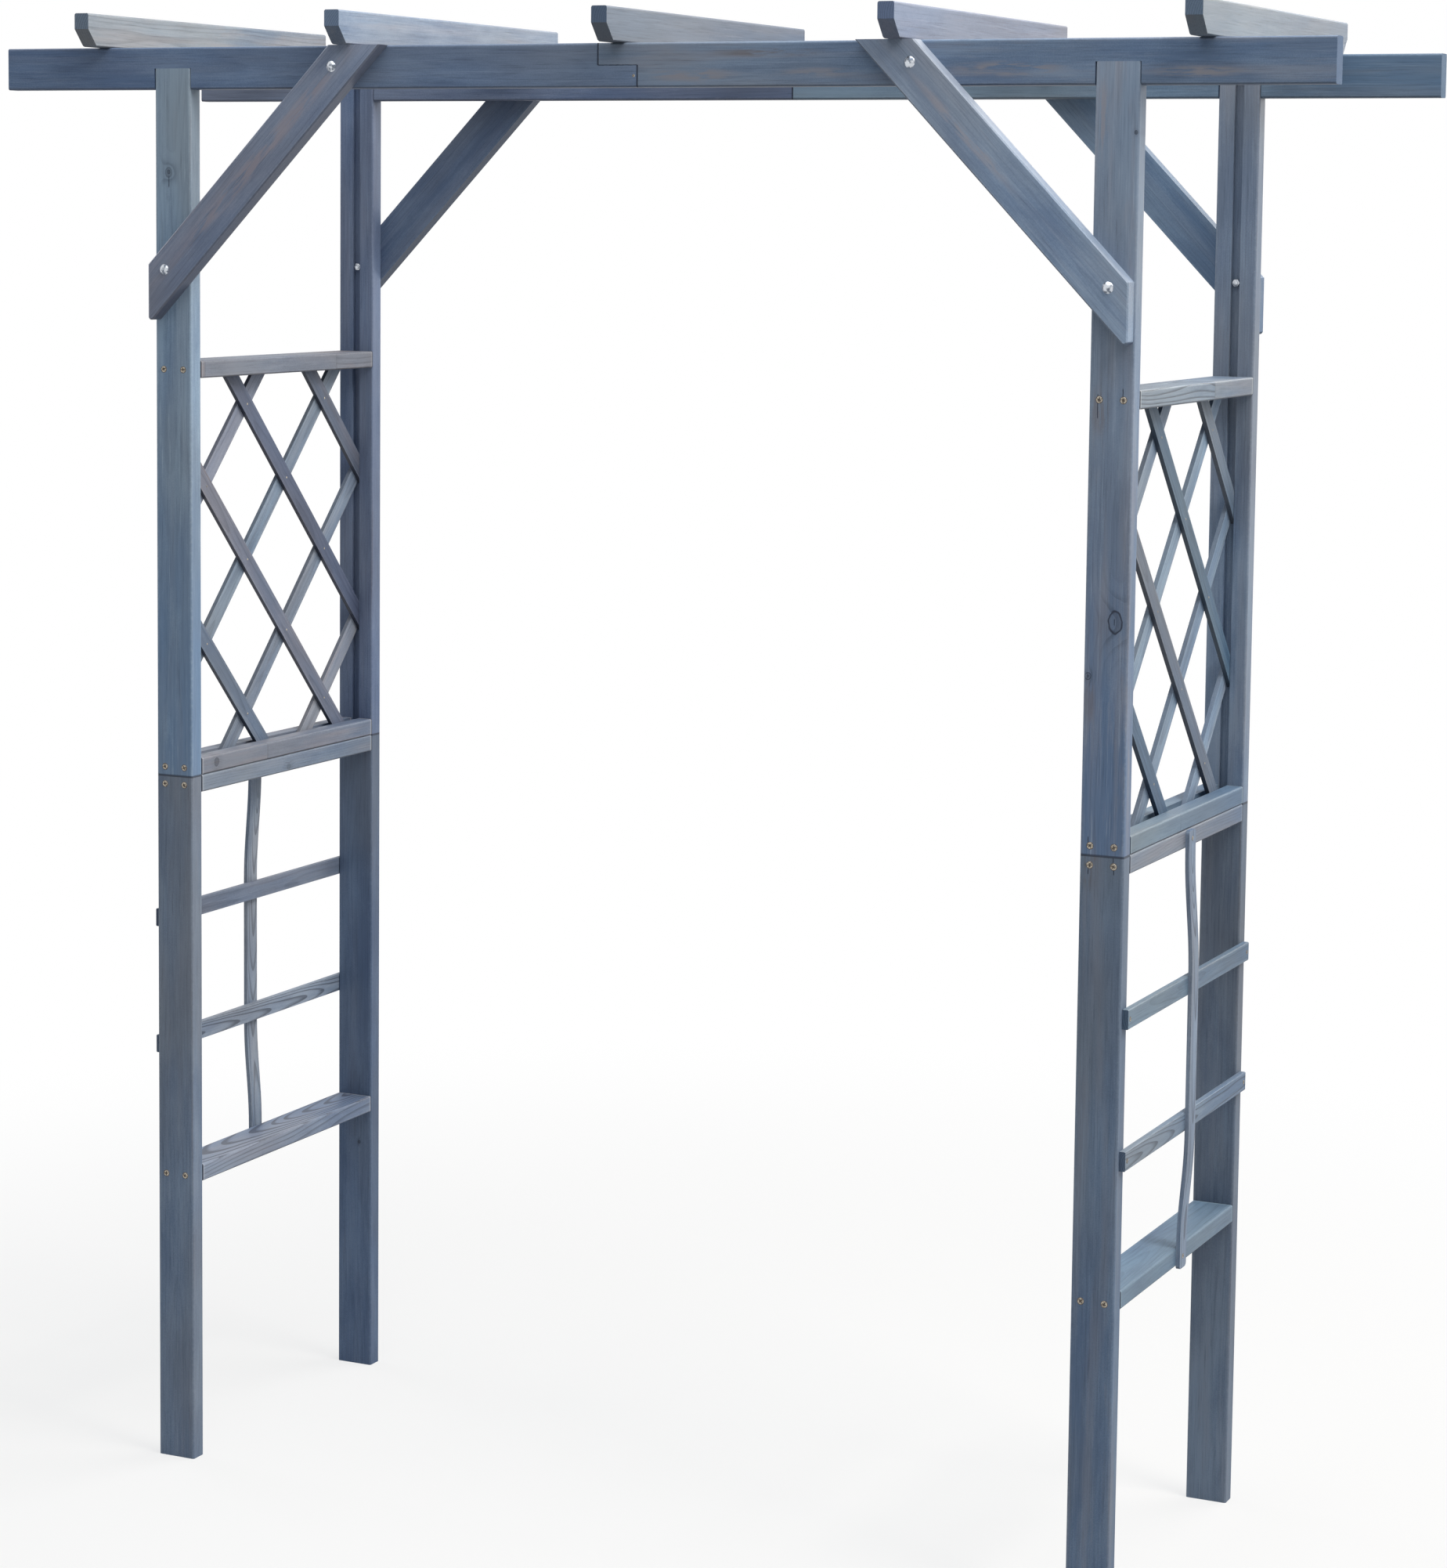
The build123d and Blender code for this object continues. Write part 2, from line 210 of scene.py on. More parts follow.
class Recipe:
    """One node tree, with short ways to add what the finishes need."""

    SHADE = (0.4, 0.4, 0.42, 1.0)  # what full shade leaves of a colour
    SHARE, UNDER, OVER, MIXED = 0, 6, 7, 2  # the sockets of a Mix node that mixes colours

    def __init__(self, owner: Union[bpy.types.Material, bpy.types.World]) -> None:
        """Empties the tree of a material or of the world.

        Args:
            owner: What the tree belongs to.
        """
        self.owner = owner
        owner.use_nodes = True
        self.tree = owner.node_tree
        self.tree.nodes.clear()

    def node(
        self,
        kind: str,
        settings: Mapping[str, object] | None = None,
        sockets: Mapping[Union[int, str], object] | None = None,
    ) -> bpy.types.Node:
        """Adds any node.

        Args:
            kind: The node's type.
            settings: Its own settings, which are set first.
            sockets: Values or links for its inputs, by name or number.

        Returns:
            The new node.
        """
        made = self.tree.nodes.new(kind)
        for key, value in (settings or {}).items():
            setattr(made, key, value)
        for key, value in (sockets or {}).items():
            if isinstance(value, Signal):
                value = value.socket
            if isinstance(value, bpy.types.NodeSocket):
                self.tree.links.new(value, made.inputs[key])
            else:
                made.inputs[key].default_value = value
        return made

    def point(self) -> bpy.types.NodeSocket:
        """The place on the arch, in metres."""
        return self.node("ShaderNodeTexCoord").outputs["Object"]

    def along(self, vector: bpy.types.NodeSocket, direction: Vector) -> Signal:
        """How far a vector reaches in one direction.

        Args:
            vector: The vector.
            direction: The unit direction.

        Returns:
            Their dot product.
        """
        settings = {"operation": "DOT_PRODUCT"}
        made = self.node("ShaderNodeVectorMath", settings, {0: vector, 1: direction})
        return Signal(self, made.outputs["Value"])

    def vector(self, x: Number, y: Number, z: Number) -> bpy.types.NodeSocket:
        """A vector from three numbers."""
        return self.node("ShaderNodeCombineXYZ", None, {0: x, 1: y, 2: z}).outputs[0]

    def length(self, x: Number, y: Number) -> Signal:
        """The length of a flat vector."""
        made = self.node("ShaderNodeVectorMath", {"operation": "LENGTH"}, {0: self.vector(x, y, 0.0)})
        return Signal(self, made.outputs["Value"])

    def noise(
        self, x: Number, y: Number, z: Number, detail: float = 2.0, rough: float = 0.5
    ) -> Signal:
        """Noise at a place whose axes are already stretched to size.

        Args:
            x: First coordinate.
            y: Second coordinate.
            z: Third coordinate.
            detail: How many finer layers it has.
            rough: How strong the finer layers are.

        Returns:
            Noise between nought and one.
        """
        made = self.node(
            "ShaderNodeTexNoise",
            None,
            {"Vector": self.vector(x, y, z), "Scale": 1.0, "Detail": detail, "Roughness": rough},
        )
        return Signal(self, made.outputs[0])

    def grit(self, fine: Sequence[float], detail: float = 2.0, rough: float = 0.5) -> Signal:
        """Noise over the whole arch.

        Args:
            fine: How often it changes in a metre along X, Y and Z.
            detail: How many finer layers it has.
            rough: How strong the finer layers are.

        Returns:
            Noise between nought and one.
        """
        point = self.point()
        x, y, z = (self.along(point, axis) * f for axis, f in zip((AXIS_X, AXIS_Y, AXIS_Z), fine))
        return self.noise(x, y, z, detail, rough)

    def mix(self, share: Number, under: object, over: object) -> bpy.types.NodeSocket:
        """Lays one colour over another.

        Args:
            share: How much of the upper colour shows.
            under: The lower colour.
            over: The upper colour.

        Returns:
            The mixed colour.
        """
        sockets = {self.SHARE: share, self.UNDER: under, self.OVER: over}
        return self.node("ShaderNodeMix", {"data_type": "RGBA"}, sockets).outputs[self.MIXED]

    def shade(self, share: Number, colour: object) -> bpy.types.NodeSocket:
        """Darkens a colour, with hardly a change of hue.

        Args:
            share: How much it darkens.
            colour: The colour.

        Returns:
            The darker colour.
        """
        settings = {"data_type": "RGBA", "blend_type": "MULTIPLY"}
        sockets = {self.SHARE: share, self.UNDER: colour, self.OVER: self.SHADE}
        return self.node("ShaderNodeMix", settings, sockets).outputs[self.MIXED]

    def finish(
        self, sockets: Mapping[Union[int, str], object], height: Signal, depth: float
    ) -> bpy.types.Material:
        """Closes the material with its surface shader.

        Args:
            sockets: The shader's inputs.
            height: Relief from nought to one.
            depth: The relief's depth.

        Returns:
            The finished material.
        """
        relief = {"Height": height, "Distance": depth, "Strength": 1.0}
        bump = self.node("ShaderNodeBump", None, relief)
        shader = self.node("ShaderNodeBsdfPrincipled", None, {**sockets, "Normal": bump.outputs[0]})
        self.node("ShaderNodeOutputMaterial", None, {0: shader.outputs[0]})
        return self.owner


# ---------------------------------------------------------------- boards and wood


@dataclass(frozen=True)
class Board:
    """How one board lies: its middle, its own directions and its half sizes."""

    middle: Vector
    grain: Vector
    width: Vector
    half_length: float
    half_width: float
    half_thickness: float

    @property
    def through(self) -> Vector:
        """The direction through the board's thickness."""
        return self.grain.cross(self.width)

    @staticmethod
    def of_node(node: str, grain: Vector, width: Vector) -> "Board":
        """Reads a board that lies square to the axes from its node.

        Args:
            node: The node's name.
            grain: The board's long direction.
            width: The direction across its wide face.

        Returns:
            The board.
        """
        low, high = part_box(node)
        half = (high - low) / 2
        through = grain.cross(width)
        reach = [abs(half.dot(Vector(map(abs, d)))) for d in (grain, width, through)]
        return Board((low + high) / 2, grain, width, *reach)


@dataclass(frozen=True)
class Knot:
    """A knot, placed from the board's middle.

    Attributes:
        along: Its place along the grain.
        across: Its place across the wide face, or across the narrow one.
        radius: Its radius across the grain.
        long: How many times longer it is along the grain.
        rim: How dark its rim is.
        fill: How dark its middle is.
        narrow: Whether it is in the narrow face.
    """

    along: float
    across: float
    radius: float
    long: float = 1.3
    rim: float = 0.85
    fill: float = 0.35
    narrow: bool = False


@dataclass(frozen=True)
class Check:
    """A short split along the grain, placed from the board's middle."""

    along: float
    across: float
    length: float


@dataclass(frozen=True)
class Stain:
    """A patch, placed from the board's middle, where brown or warm wood shows.

    Attributes:
        along: Its place along the grain.
        across: Its place across the wide face.
        radius: Its radius across the grain.
        strength: How much of the wood shows at its middle.
        long: How many times longer it is along the grain.
        brown: Whether the wood is brown, or else only warmer than the glaze.
    """

    along: float
    across: float
    radius: float
    strength: float = 0.6
    long: float = 2.2
    brown: bool = True


@dataclass(frozen=True)
class FingerJoint:
    """Where one length of wood is glued to the next, and how far the next one differs."""

    along: float
    tone: float = 0.0
    warmth: float = 0.0
    contrast: float = 0.0


@dataclass(frozen=True)
class Figure:
    """The grain of one board, the marks on it, and its painted shade and highlight.

    Attributes:
        seed: Settles where in its stem the board was cut.
        tone: How light the glaze is, from nought to one.
        warmth: How much warm wood shows through.
        ring: The distance from one year's ring to the next.
        contrast: How dark late wood is.
        slope: How steeply the stem's axis leans through the board.
        depth: How far the stem's axis lies outside the board.
        lip: How pale the painted highlight is on the corner next to a butted end.
        flank_shade: How dark the painted shade on the narrow faces is.
        pale: How much the raised fibres are rubbed.
        butt: How much darker the sawn ends are than their glaze.
        joints: Its finger joints.
        knots: Its knots.
        checks: Its splits.
        stains: Its stains.
        closed_ends: The ends that butt on another board, by their sign along the grain.
    """

    seed: int
    tone: float = 0.5
    warmth: float = 0.3
    ring: float = 0.0034
    contrast: float = 0.12
    slope: float = 0.006
    depth: float = 0.03
    lip: float = 0.0
    flank_shade: float = 0.0
    pale: float = 0.25
    butt: float = 0.0
    joints: Sequence[FingerJoint] = ()
    knots: Sequence[Knot] = ()
    checks: Sequence[Check] = ()
    stains: Sequence[Stain] = ()
    closed_ends: Sequence[int] = ()


@dataclass(frozen=True)
class Take:
    """How one board took the glaze, and the painted light that grows or fades along it.

    Attributes:
        red: How light it is in red, where one is the glaze's own colour.
        green: How light it is in green.
        blue: How light it is in blue.
        painted_light_drift: How much lighter it grows in a metre along the board, as painted light
            standing in for light that fades along it.
        chill: How much greyer it grows in a metre along the board.
    """

    red: float = 1.0
    green: float = 1.0
    blue: float = 1.0
    painted_light_drift: float = 0.0
    chill: float = 0.0


@dataclass(frozen=True)
class Weave:
    """Noise that is drawn out along the grain.

    Attributes:
        along: How often it changes in a metre along the grain.
        across: How often it changes in a metre across the grain.
        detail: How many finer layers it has.
        rough: How strong the finer layers are.
        shift: Where it starts, so that two weaves differ.
    """

    along: float
    across: float
    detail: float = 2.0
    rough: float = 0.5
    shift: float = 0.0


@dataclass(frozen=True)
class TimberGlaze:
    """Planed softwood under a satin blue-grey glaze.

    Attributes:
        deep: The glaze where it lies thick.
        thin: The glaze where it lies thin.
        warm: Glaze with the wood's own tint in it.
        grey: Glaze that has lost its blue.
        brown: Bare wood.
        heart_and_shade: Knots, splits and the pores of sawn ends, and the painted shade in seams, on
            undersides and on narrow faces.
        worn_and_highlight: Rubbed fibres, and the pale corners, which are partly rubbed glaze and partly
            a painted highlight.
        end: Glaze on sawn ends.
        roughness: How rough the plain glaze is.
        relief: How deep the grain stands in the surface.
        ior: The glaze's index of refraction.
        specular: How strongly it mirrors.
        coats: How much clouds, bands, streaks and specks change its depth.
        sway: How the stem's axis wanders across the board.
        lean: How it wanders through the board.
        fibre: The finest streaks, which the plane left.
        streak: Streaks as wide as a bristle.
        cloud: The clouds that the brush left.
        band: Long bands of thicker glaze.
        patch: Short patches of thinner glaze.
        hue: Where the glaze is bluer or greyer.
    """

    deep: Colour = paint(92, 108, 131)
    thin: Colour = paint(124, 138, 156)
    warm: Colour = paint(136, 129, 131)
    grey: Colour = paint(120, 120, 122)
    brown: Colour = paint(106, 88, 78)
    heart_and_shade: Colour = paint(40, 44, 56)
    worn_and_highlight: Colour = paint(160, 166, 175)
    end: Colour = paint(96, 112, 135)
    roughness: float = 0.52
    relief: float = 0.00014
    ior: float = 1.45
    specular: float = 0.36
    coats: Sequence[float] = (3.4, 0.9, 0.3, 1.1)
    sway: Weave = Weave(1.3, 4.0)
    lean: Weave = Weave(2.6, 7.0, shift=7.0)
    fibre: Weave = Weave(14.0, 470.0, 3.0, 0.7)
    streak: Weave = Weave(3.0, 190.0, 3.0, 0.6)
    cloud: Weave = Weave(6.0, 22.0, 4.0, 0.6)
    band: Weave = Weave(3.0, 45.0, shift=5.0)
    patch: Weave = Weave(15.0, 110.0, 3.0, 0.6, 3.0)
    hue: Weave = Weave(3.4, 11.0, 2.0, 0.45, 11.0)

    def dyed(self, take: Take) -> "TimberGlaze":
        """Tints every colour for a board that took the glaze more or less strongly.

        Args:
            take: How the board took it.

        Returns:
            The glaze as it is on that board.
        """
        shares = (take.red, take.green, take.blue, 1.0)
        stock = ("deep", "thin", "warm", "grey", "brown", "heart_and_shade", "worn_and_highlight", "end")
        tints = {name: tuple(c * s for c, s in zip(getattr(self, name), shares)) for name in stock}
        return replace(self, **tints)

    def material(self, name: str, board: Board, figure: Figure, take: Take) -> bpy.types.Material:
        """Builds the finish of one board.

        Args:
            name: The material's name.
            board: How the board lies.
            figure: Its own grain.
            take: How it took the glaze.

        Returns:
            The material.
        """
        return GlazedBoard(name, self.dyed(take), board, figure, take).build()


class GlazedBoard:
    """The material of one board, built as the board was: grown, glazed, marked and rubbed, with painted
    shade and highlights laid on.
    """

    # a pair says where a mark, its wear, or its painted shade or highlight starts, then where it is
    # full, from its corner, end or middle
    STEM_LENGTH = 40.0  # how far apart two boards may have been cut from one stem
    SWAY = 1.5  # how far the stem's axis wanders across a board, in half widths
    LEAN = 0.016  # how far it wanders through a board
    JOINT_SKIP = 3.7  # how much further along its stem the wood past a finger joint was cut
    JOINT_TURN = 0.8  # how much further round its stem that wood was cut
    GLUE_LINE = (0.0012, 0.0005)
    TEETH = 160.0  # teeth in a metre across a finger joint
    TOOTH = 0.004  # how long a tooth is
    CORNER = (0.006, 0.001)
    SEAM_SHADE = (0.0022, 0.0012)
    END_HIGHLIGHT = (0.0062, 0.0042)
    SPLIT = (0.001, 0.0004)
    SPLIT_TIP = 0.003  # how far a split takes to close at either end
    SPLIT_WANDER = 0.0012  # how far it wanders
    KNOT_RIM = (0.68, 0.86)  # of a knot's radius, as the next two are
    KNOT_SKIN = (1.0, 0.88)
    KNOT_HALO = (3.2, 1.0)
    KNOT_BEND = 4.5  # how many radii away a knot still bends the rings

    def __init__(self, name: str, glaze: TimberGlaze, board: Board, figure: Figure, take: Take) -> None:
        """Cuts the board from its stem and reads what changes over it.

        Args:
            name: The material's name.
            glaze: The glaze in this board's own colours.
            board: How the board lies.
            figure: Its own grain.
            take: How it took the glaze.
        """
        self.recipe = Recipe(bpy.data.materials.new(name))
        self.glaze = glaze
        self.board = board
        self.figure = figure
        self.take = take

        dice = random.Random(figure.seed)
        self.pith_across = dice.uniform(-0.5, 0.5) * board.half_width
        self.pith_through = (board.half_thickness + figure.depth) * dice.choice((-1, 1))
        self.slope = figure.slope * dice.choice((-1, 1)) * dice.uniform(0.8, 1.2)
        self.start = dice.uniform(0.0, self.STEM_LENGTH)

        point = self.recipe.point()
        axes = (board.grain, board.width, board.through)
        self.along, self.across, self.through = (
            self.recipe.along(point, axis) - board.middle.dot(axis) for axis in axes
        )
        normal = self.recipe.node("ShaderNodeNewGeometry").outputs["Normal"]
        self.narrow = abs(self.recipe.along(normal, board.width)).ramp(0.6, 0.85)
        # mask for the painted shade on faces that look down
        self.under = (0.0 - self.recipe.along(normal, AXIS_Z)).ramp(0.1, 0.5)
        self.cut = abs(self.recipe.along(normal, board.grain)).ramp(0.74, 0.9)

        self.run: Signal = self.along + self.start
        self.turn: Number = 0.0
        self.tone: Number = figure.tone
        self.warmth: Number = figure.warmth
        self.contrast: Number = figure.contrast
        self.change_at_joints()

        self.fibre = self.drawn_out(glaze.fibre)
        self.streak = self.drawn_out(glaze.streak)
        self.cloud = self.drawn_out(glaze.cloud)
        self.band = self.drawn_out(glaze.band)
        self.patch = self.drawn_out(glaze.patch)
        self.worry = self.grain_of(160.0, 2.0, 0.6)

        self.knot_marks: tuple[Signal, ...] = ()
        self.late = self.late_wood()
        self.colour: object = glaze.deep

    def drawn_out(self, weave: Weave) -> Signal:
        """Draws noise out along the grain.

        Args:
            weave: How fine it is.

        Returns:
            The noise, from nought to one.
        """
        along = self.run * weave.along + weave.shift
        across = self.across * weave.across
        through = self.through * weave.across
        return self.recipe.noise(along, across, through, weave.detail, weave.rough)

    def grain_of(self, fine: float, detail: float, rough: float) -> Signal:
        """Noise that is alike in every direction, from nought to one."""
        place = (self.along * fine, self.across * fine, self.through * fine)
        return self.recipe.noise(*place, detail, rough)

    def change_at_joints(self) -> None:
        """Takes the wood past each finger joint from elsewhere in the stem."""
        for joint in self.figure.joints:
            past = self.along > joint.along
            self.run = self.run + past * self.JOINT_SKIP
            self.turn = past * self.JOINT_TURN + self.turn
            self.tone = past * joint.tone + self.tone
            self.warmth = past * joint.warmth + self.warmth
            self.contrast = past * joint.contrast + self.contrast

    def late_wood(self) -> Signal:
        """Finds the dark late wood of the year's rings.

        The stem's axis wanders and leans, so its rings open into arches on the wide faces.

        Returns:
            One in late wood, and nought in early wood.
        """
        sway = self.drawn_out(self.glaze.sway) - 0.5
        lean = self.drawn_out(self.glaze.lean) - 0.5
        shift = (sway + self.turn * 0.7) * (self.board.half_width * self.SWAY)
        climb = (self.along + self.turn * 0.4) * self.slope
        off_across = self.across - self.pith_across + shift
        off_through = self.through - self.pith_through + lean * self.LEAN + climb
        radius = self.recipe.length(off_across, off_through)
        for knot in self.figure.knots:
            radius = radius + self.grow_knot(knot)
        uneven = self.recipe.noise(radius * 60.0, self.start, 0.0, 1.0) * 1.5
        year = (radius / self.figure.ring + uneven).part()
        return year.ramp(0.5, 0.93) * year.ramp(1.0, 0.94) * (1.0 - self.narrow * 0.6)

    def grow_knot(self, knot: Knot) -> Signal:
        """Keeps one knot's marks for later.

        Args:
            knot: The knot.

        Returns:
            How far it pushes the rings aside.
        """
        side = self.through if knot.narrow else self.across
        wobble = (self.grain_of(90.0, 1.0, 0.5) - 0.5) * (knot.radius * 0.35)
        gap = self.recipe.length((self.along - knot.along) / knot.long, side - knot.across) + wobble
        rim, core, halo = (
            gap.ramp(knot.radius * low, knot.radius * high)
            for low, high in (self.KNOT_RIM, self.KNOT_SKIN, self.KNOT_HALO)
        )
        marks = (core * knot.fill, core * rim * knot.rim, halo)
        if self.knot_marks:
            marks = tuple(old.most(new) for old, new in zip(self.knot_marks, marks))
        self.knot_marks = marks
        return gap.ramp(knot.radius * self.KNOT_BEND, 0.0) * (knot.radius * 0.7)

    def lay(self, share: Number, colour: Colour) -> None:
        """Lays a colour over what is there."""
        self.colour = self.recipe.mix(share, self.colour, colour)

    def darken(self, share: Number) -> None:
        """Darkens what is there."""
        self.colour = self.recipe.shade(share, self.colour)

    def brush_on_glaze(self) -> None:
        """Lays the glaze in clouds, with its greyer and its warmer places, and paints light that grows
        or fades along the board.
        """
        speck = self.grain_of(520.0, 2.0, 0.6)
        coats = (self.cloud, self.band, self.streak, speck)
        cloud, band, streak, speck = ((c - 0.5) * s for c, s in zip(coats, self.glaze.coats))
        # painted light: the board grows lighter or darker along its length by its painted_light_drift
        share = cloud + band + streak + speck + self.tone + self.along * self.take.painted_light_drift
        self.lay(share.ramp(-0.35, 1.35), self.glaze.thin)
        hue = self.drawn_out(self.glaze.hue)
        self.lay(hue.ramp(0.3, 0.7) * 0.4 + self.along * self.take.chill, self.glaze.grey)
        blush = self.patch.ramp(0.52, 0.68) * self.cloud.ramp(0.4, 0.6)
        self.lay((self.band.ramp(0.46, 0.72) * 0.75 + blush * 0.35) * self.warmth, self.glaze.warm)

    def bring_out_grain(self) -> None:
        """Darkens late wood and the plane's streaks, and rubs the raised fibres pale."""
        self.darken(self.late * self.contrast)
        self.darken(self.fibre.ramp(0.5, 0.78) * 0.5)
        self.darken(self.streak.ramp(0.42, 0.26) * 0.16)
        raised = self.fibre.ramp(0.5, 0.3) * self.streak.ramp(0.44, 0.66)
        self.lay(raised * self.figure.pale, self.glaze.worn_and_highlight)

    def add_marks(self) -> None:
        """Adds the stains, knots and splits."""
        for stain in self.figure.stains:
            gap = self.recipe.length((self.along - stain.along) / stain.long, self.across - stain.across)
            mark = gap.ramp(stain.radius, stain.radius * 0.3) * self.patch.ramp(0.4, 0.54)
            self.lay(mark * stain.strength, self.glaze.brown if stain.brown else self.glaze.warm)
        if self.knot_marks:
            fill, rim, halo = self.knot_marks
            self.darken(halo * (self.late * 0.35 + 0.18))
            self.darken(fill)
            self.lay(rim, self.glaze.heart_and_shade)
        for split in self.figure.checks:
            wander = (self.worry - 0.5) * self.SPLIT_WANDER
            slit = abs(self.across - split.across + wander).ramp(*self.SPLIT)
            half = split.length / 2
            reach = abs(self.along - split.along).ramp(half, half - self.SPLIT_TIP)
            self.lay(slit * reach * 0.85, self.glaze.heart_and_shade)

    def rub_and_highlight_corners(self) -> None:
        """Lays a pale band on the long corners, partly rubbed glaze and partly a painted highlight, and
        rubs them to brown wood here and there.
        """
        beside = abs(self.across).ramp(*(self.board.half_width - c for c in self.CORNER))
        corner = beside * abs(self.through).ramp(*(self.board.half_thickness - c for c in self.CORNER))
        # the pale band is partly rubbed glaze and partly a painted highlight of the rounded corner
        self.lay(corner * (0.08 + self.worry.ramp(0.4, 0.7) * 0.14), self.glaze.worn_and_highlight)
        self.lay(corner * self.streak.ramp(0.52, 0.7) * 0.25, self.glaze.brown)

    def darken_faces(self) -> None:
        """Gives sawn ends their own tint, and paints shade on the undersides and on the narrow faces."""
        grit = self.recipe.noise(self.across * 900.0, self.through * 900.0, self.start, 1.0)
        self.lay(self.cut * 0.85, self.glaze.end)
        pores = self.late * 0.3 + grit.ramp(0.55, 0.7) * 0.2 + self.figure.butt
        self.lay(self.cut * pores, self.glaze.heart_and_shade)
        # painted shade on faces that look down
        self.lay(self.under * 0.55, self.glaze.heart_and_shade)
        # painted shade on the narrow faces
        if self.figure.flank_shade:
            self.lay(self.narrow * self.figure.flank_shade, self.glaze.heart_and_shade)

    def paint_seam_shade_and_glue_lines(self) -> None:
        """Paints a highlight next to butted ends and shade in their seams, and draws the glue lines of
        finger joints.
        """
        half = self.board.half_length
        for sign in self.figure.closed_ends:
            reach = self.along * float(sign)
            if self.figure.lip:
                # painted highlight on the rounded corner next to a butted end
                self.lay(reach.ramp(*(half - x for x in self.END_HIGHLIGHT)) * self.figure.lip, self.glaze.worn_and_highlight)
            # painted shade in the seam where the end butts on another board
            self.lay(reach.ramp(*(half - x for x in self.SEAM_SHADE)) * 0.8, self.glaze.heart_and_shade)
        for joint in self.figure.joints:
            teeth = ((self.across * self.TEETH).part() - 0.5) * self.TOOTH
            self.darken(abs(self.along - joint.along + teeth).ramp(*self.GLUE_LINE) * 0.5)

    def build(self) -> bpy.types.Material:
        """Puts the coats on in their order.

        Returns:
            The material.
        """
        self.brush_on_glaze()
        self.bring_out_grain()
        self.add_marks()
        self.rub_and_highlight_corners()
        self.darken_faces()
        self.paint_seam_shade_and_glue_lines()
        fibre = self.fibre - 0.5
        gloss = fibre * 0.12 + (self.cloud - 0.5) * 0.2 + self.cut * 0.25 + self.glaze.roughness
        height = 0.62 - self.late * self.contrast + fibre * 0.5 + (self.streak - 0.5) * 0.3
        sockets = {"Base Color": self.colour, "Roughness": gloss, "IOR": self.glaze.ior}
        sockets["Specular IOR Level"] = self.glaze.specular
        return self.recipe.finish(sockets, height, self.glaze.relief)


@dataclass(frozen=True)
class ZincPlate:
    """Zinc on steel, with faint clouds, and marks that change so often in a metre of X, Y and Z."""

    light: Colour = paint(206, 211, 218)
    dull: Colour = paint(104, 112, 124)
    cloud_size: float = 0.006
    roughness: float = 0.16
    scratches: Sequence[float] = (2600.0, 300.0, 900.0)
    relief: float = 0.00002

    def material(self, name: str) -> bpy.types.Material:
        """Builds the finish.

        Args:
            name: The material's name.

        Returns:
            The material.
        """
        recipe = Recipe(bpy.data.materials.new(name))
        cloud = recipe.grit([1.0 / self.cloud_size] * 3)
        scratch = recipe.grit(self.scratches, 2.0, 0.6)
        colour = recipe.mix(cloud.ramp(0.42, 0.62), self.light, self.dull)
        gloss = cloud * 0.16 + scratch * 0.08 + self.roughness
        sockets = {"Base Color": colour, "Metallic": 1.0, "Roughness": gloss}
        return recipe.finish(sockets, scratch, self.relief)


@dataclass(frozen=True)
class SunkRecess:
    """The painted shade of a screw's shallow driving recess, and the ring round its head, partly bruised
    wood and partly painted shadow, with grains so often in a metre.
    """

    shade: Colour = paint(58, 52, 50)
    tan: Colour = paint(116, 100, 88)
    roughness: float = 0.7
    grains: float = 900.0
    relief: float = 0.0001

    def material(self, name: str) -> bpy.types.Material:
        """Builds the finish.

        Args:
            name: The material's name.

        Returns:
            The material.
        """
        recipe = Recipe(bpy.data.materials.new(name))
        grit = recipe.grit([self.grains] * 3, 3.0, 0.6)
        colour = recipe.mix(grit.ramp(0.4, 0.62), self.shade, self.tan)
        sockets = {"Base Color": colour, "Roughness": grit * 0.2 + self.roughness}
        return recipe.finish(sockets, grit, self.relief)


# ---------------------------------------------------------------- fastener meshes


def seat(place: Vector, outward: Vector, turn: float = 0.0) -> Matrix:
    """A frame that stands on a surface.

    Args:
        place: The seat's middle.
        outward: The direction away from the timber.
        turn: How far it is turned about that direction, in radians.

    Returns:
        The frame as a matrix.
    """
    frame = outward.to_track_quat("Z", "Y").to_matrix().to_4x4()
    return Matrix.Translation(place) @ frame @ Matrix.Rotation(turn, 4, "Z")


@dataclass
class Hardware:
    """A mesh of many small like pieces, built one after another."""

    name: str
    finishes: Sequence[bpy.types.Material]
    mesh: bmesh.types.BMesh = field(default_factory=bmesh.new)

    def ring(
        self, frame: Matrix, radius: float, height: float, count: int = 24
    ) -> list[bmesh.types.BMVert]:
        """Adds a ring of points.

        Args:
            frame: The seat's frame.
            radius: The ring's radius.
            height: Its height over the seat.
            count: How many points it has, two for each corner of a cross recess.

        Returns:
            The points in order.
        """
        points = []
        for i in range(count):
            angle = RING_START + 2 * math.pi * i / count
            spot = Vector((radius * math.cos(angle), radius * math.sin(angle), height))
            points.append(self.mesh.verts.new(frame @ spot))
        return points

    def band(
        self, lower: list[bmesh.types.BMVert], upper: list[bmesh.types.BMVert], slot: int
    ) -> None:
        """Joins two rings of as many points.

        Args:
            lower: The lower ring.
            upper: The upper ring.
            slot: The finish's number.
        """
        for i in range(len(lower)):
            j = (i + 1) % len(lower)
            face = self.mesh.faces.new((lower[i], lower[j], upper[j], upper[i]))
            face.material_index = slot
            face.smooth = True

    def cap(self, points: list[bmesh.types.BMVert], slot: int) -> None:
        """Closes a ring with one flat face."""
        face = self.mesh.faces.new(points)
        face.material_index = slot

    def close(self) -> None:
        """Turns the mesh into an object that rides on the arch."""
        bmesh.ops.recalc_face_normals(self.mesh, faces=self.mesh.faces)
        data = bpy.data.meshes.new(self.name)
        self.mesh.to_mesh(data)
        self.mesh.free()
        for finish in self.finishes:
            data.materials.append(finish)
        made = bpy.data.objects.new(self.name, data)
        bpy.context.scene.collection.objects.link(made)
        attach(made, BODY)
        LOG.info("built %s with %d faces", self.name, len(data.polygons))


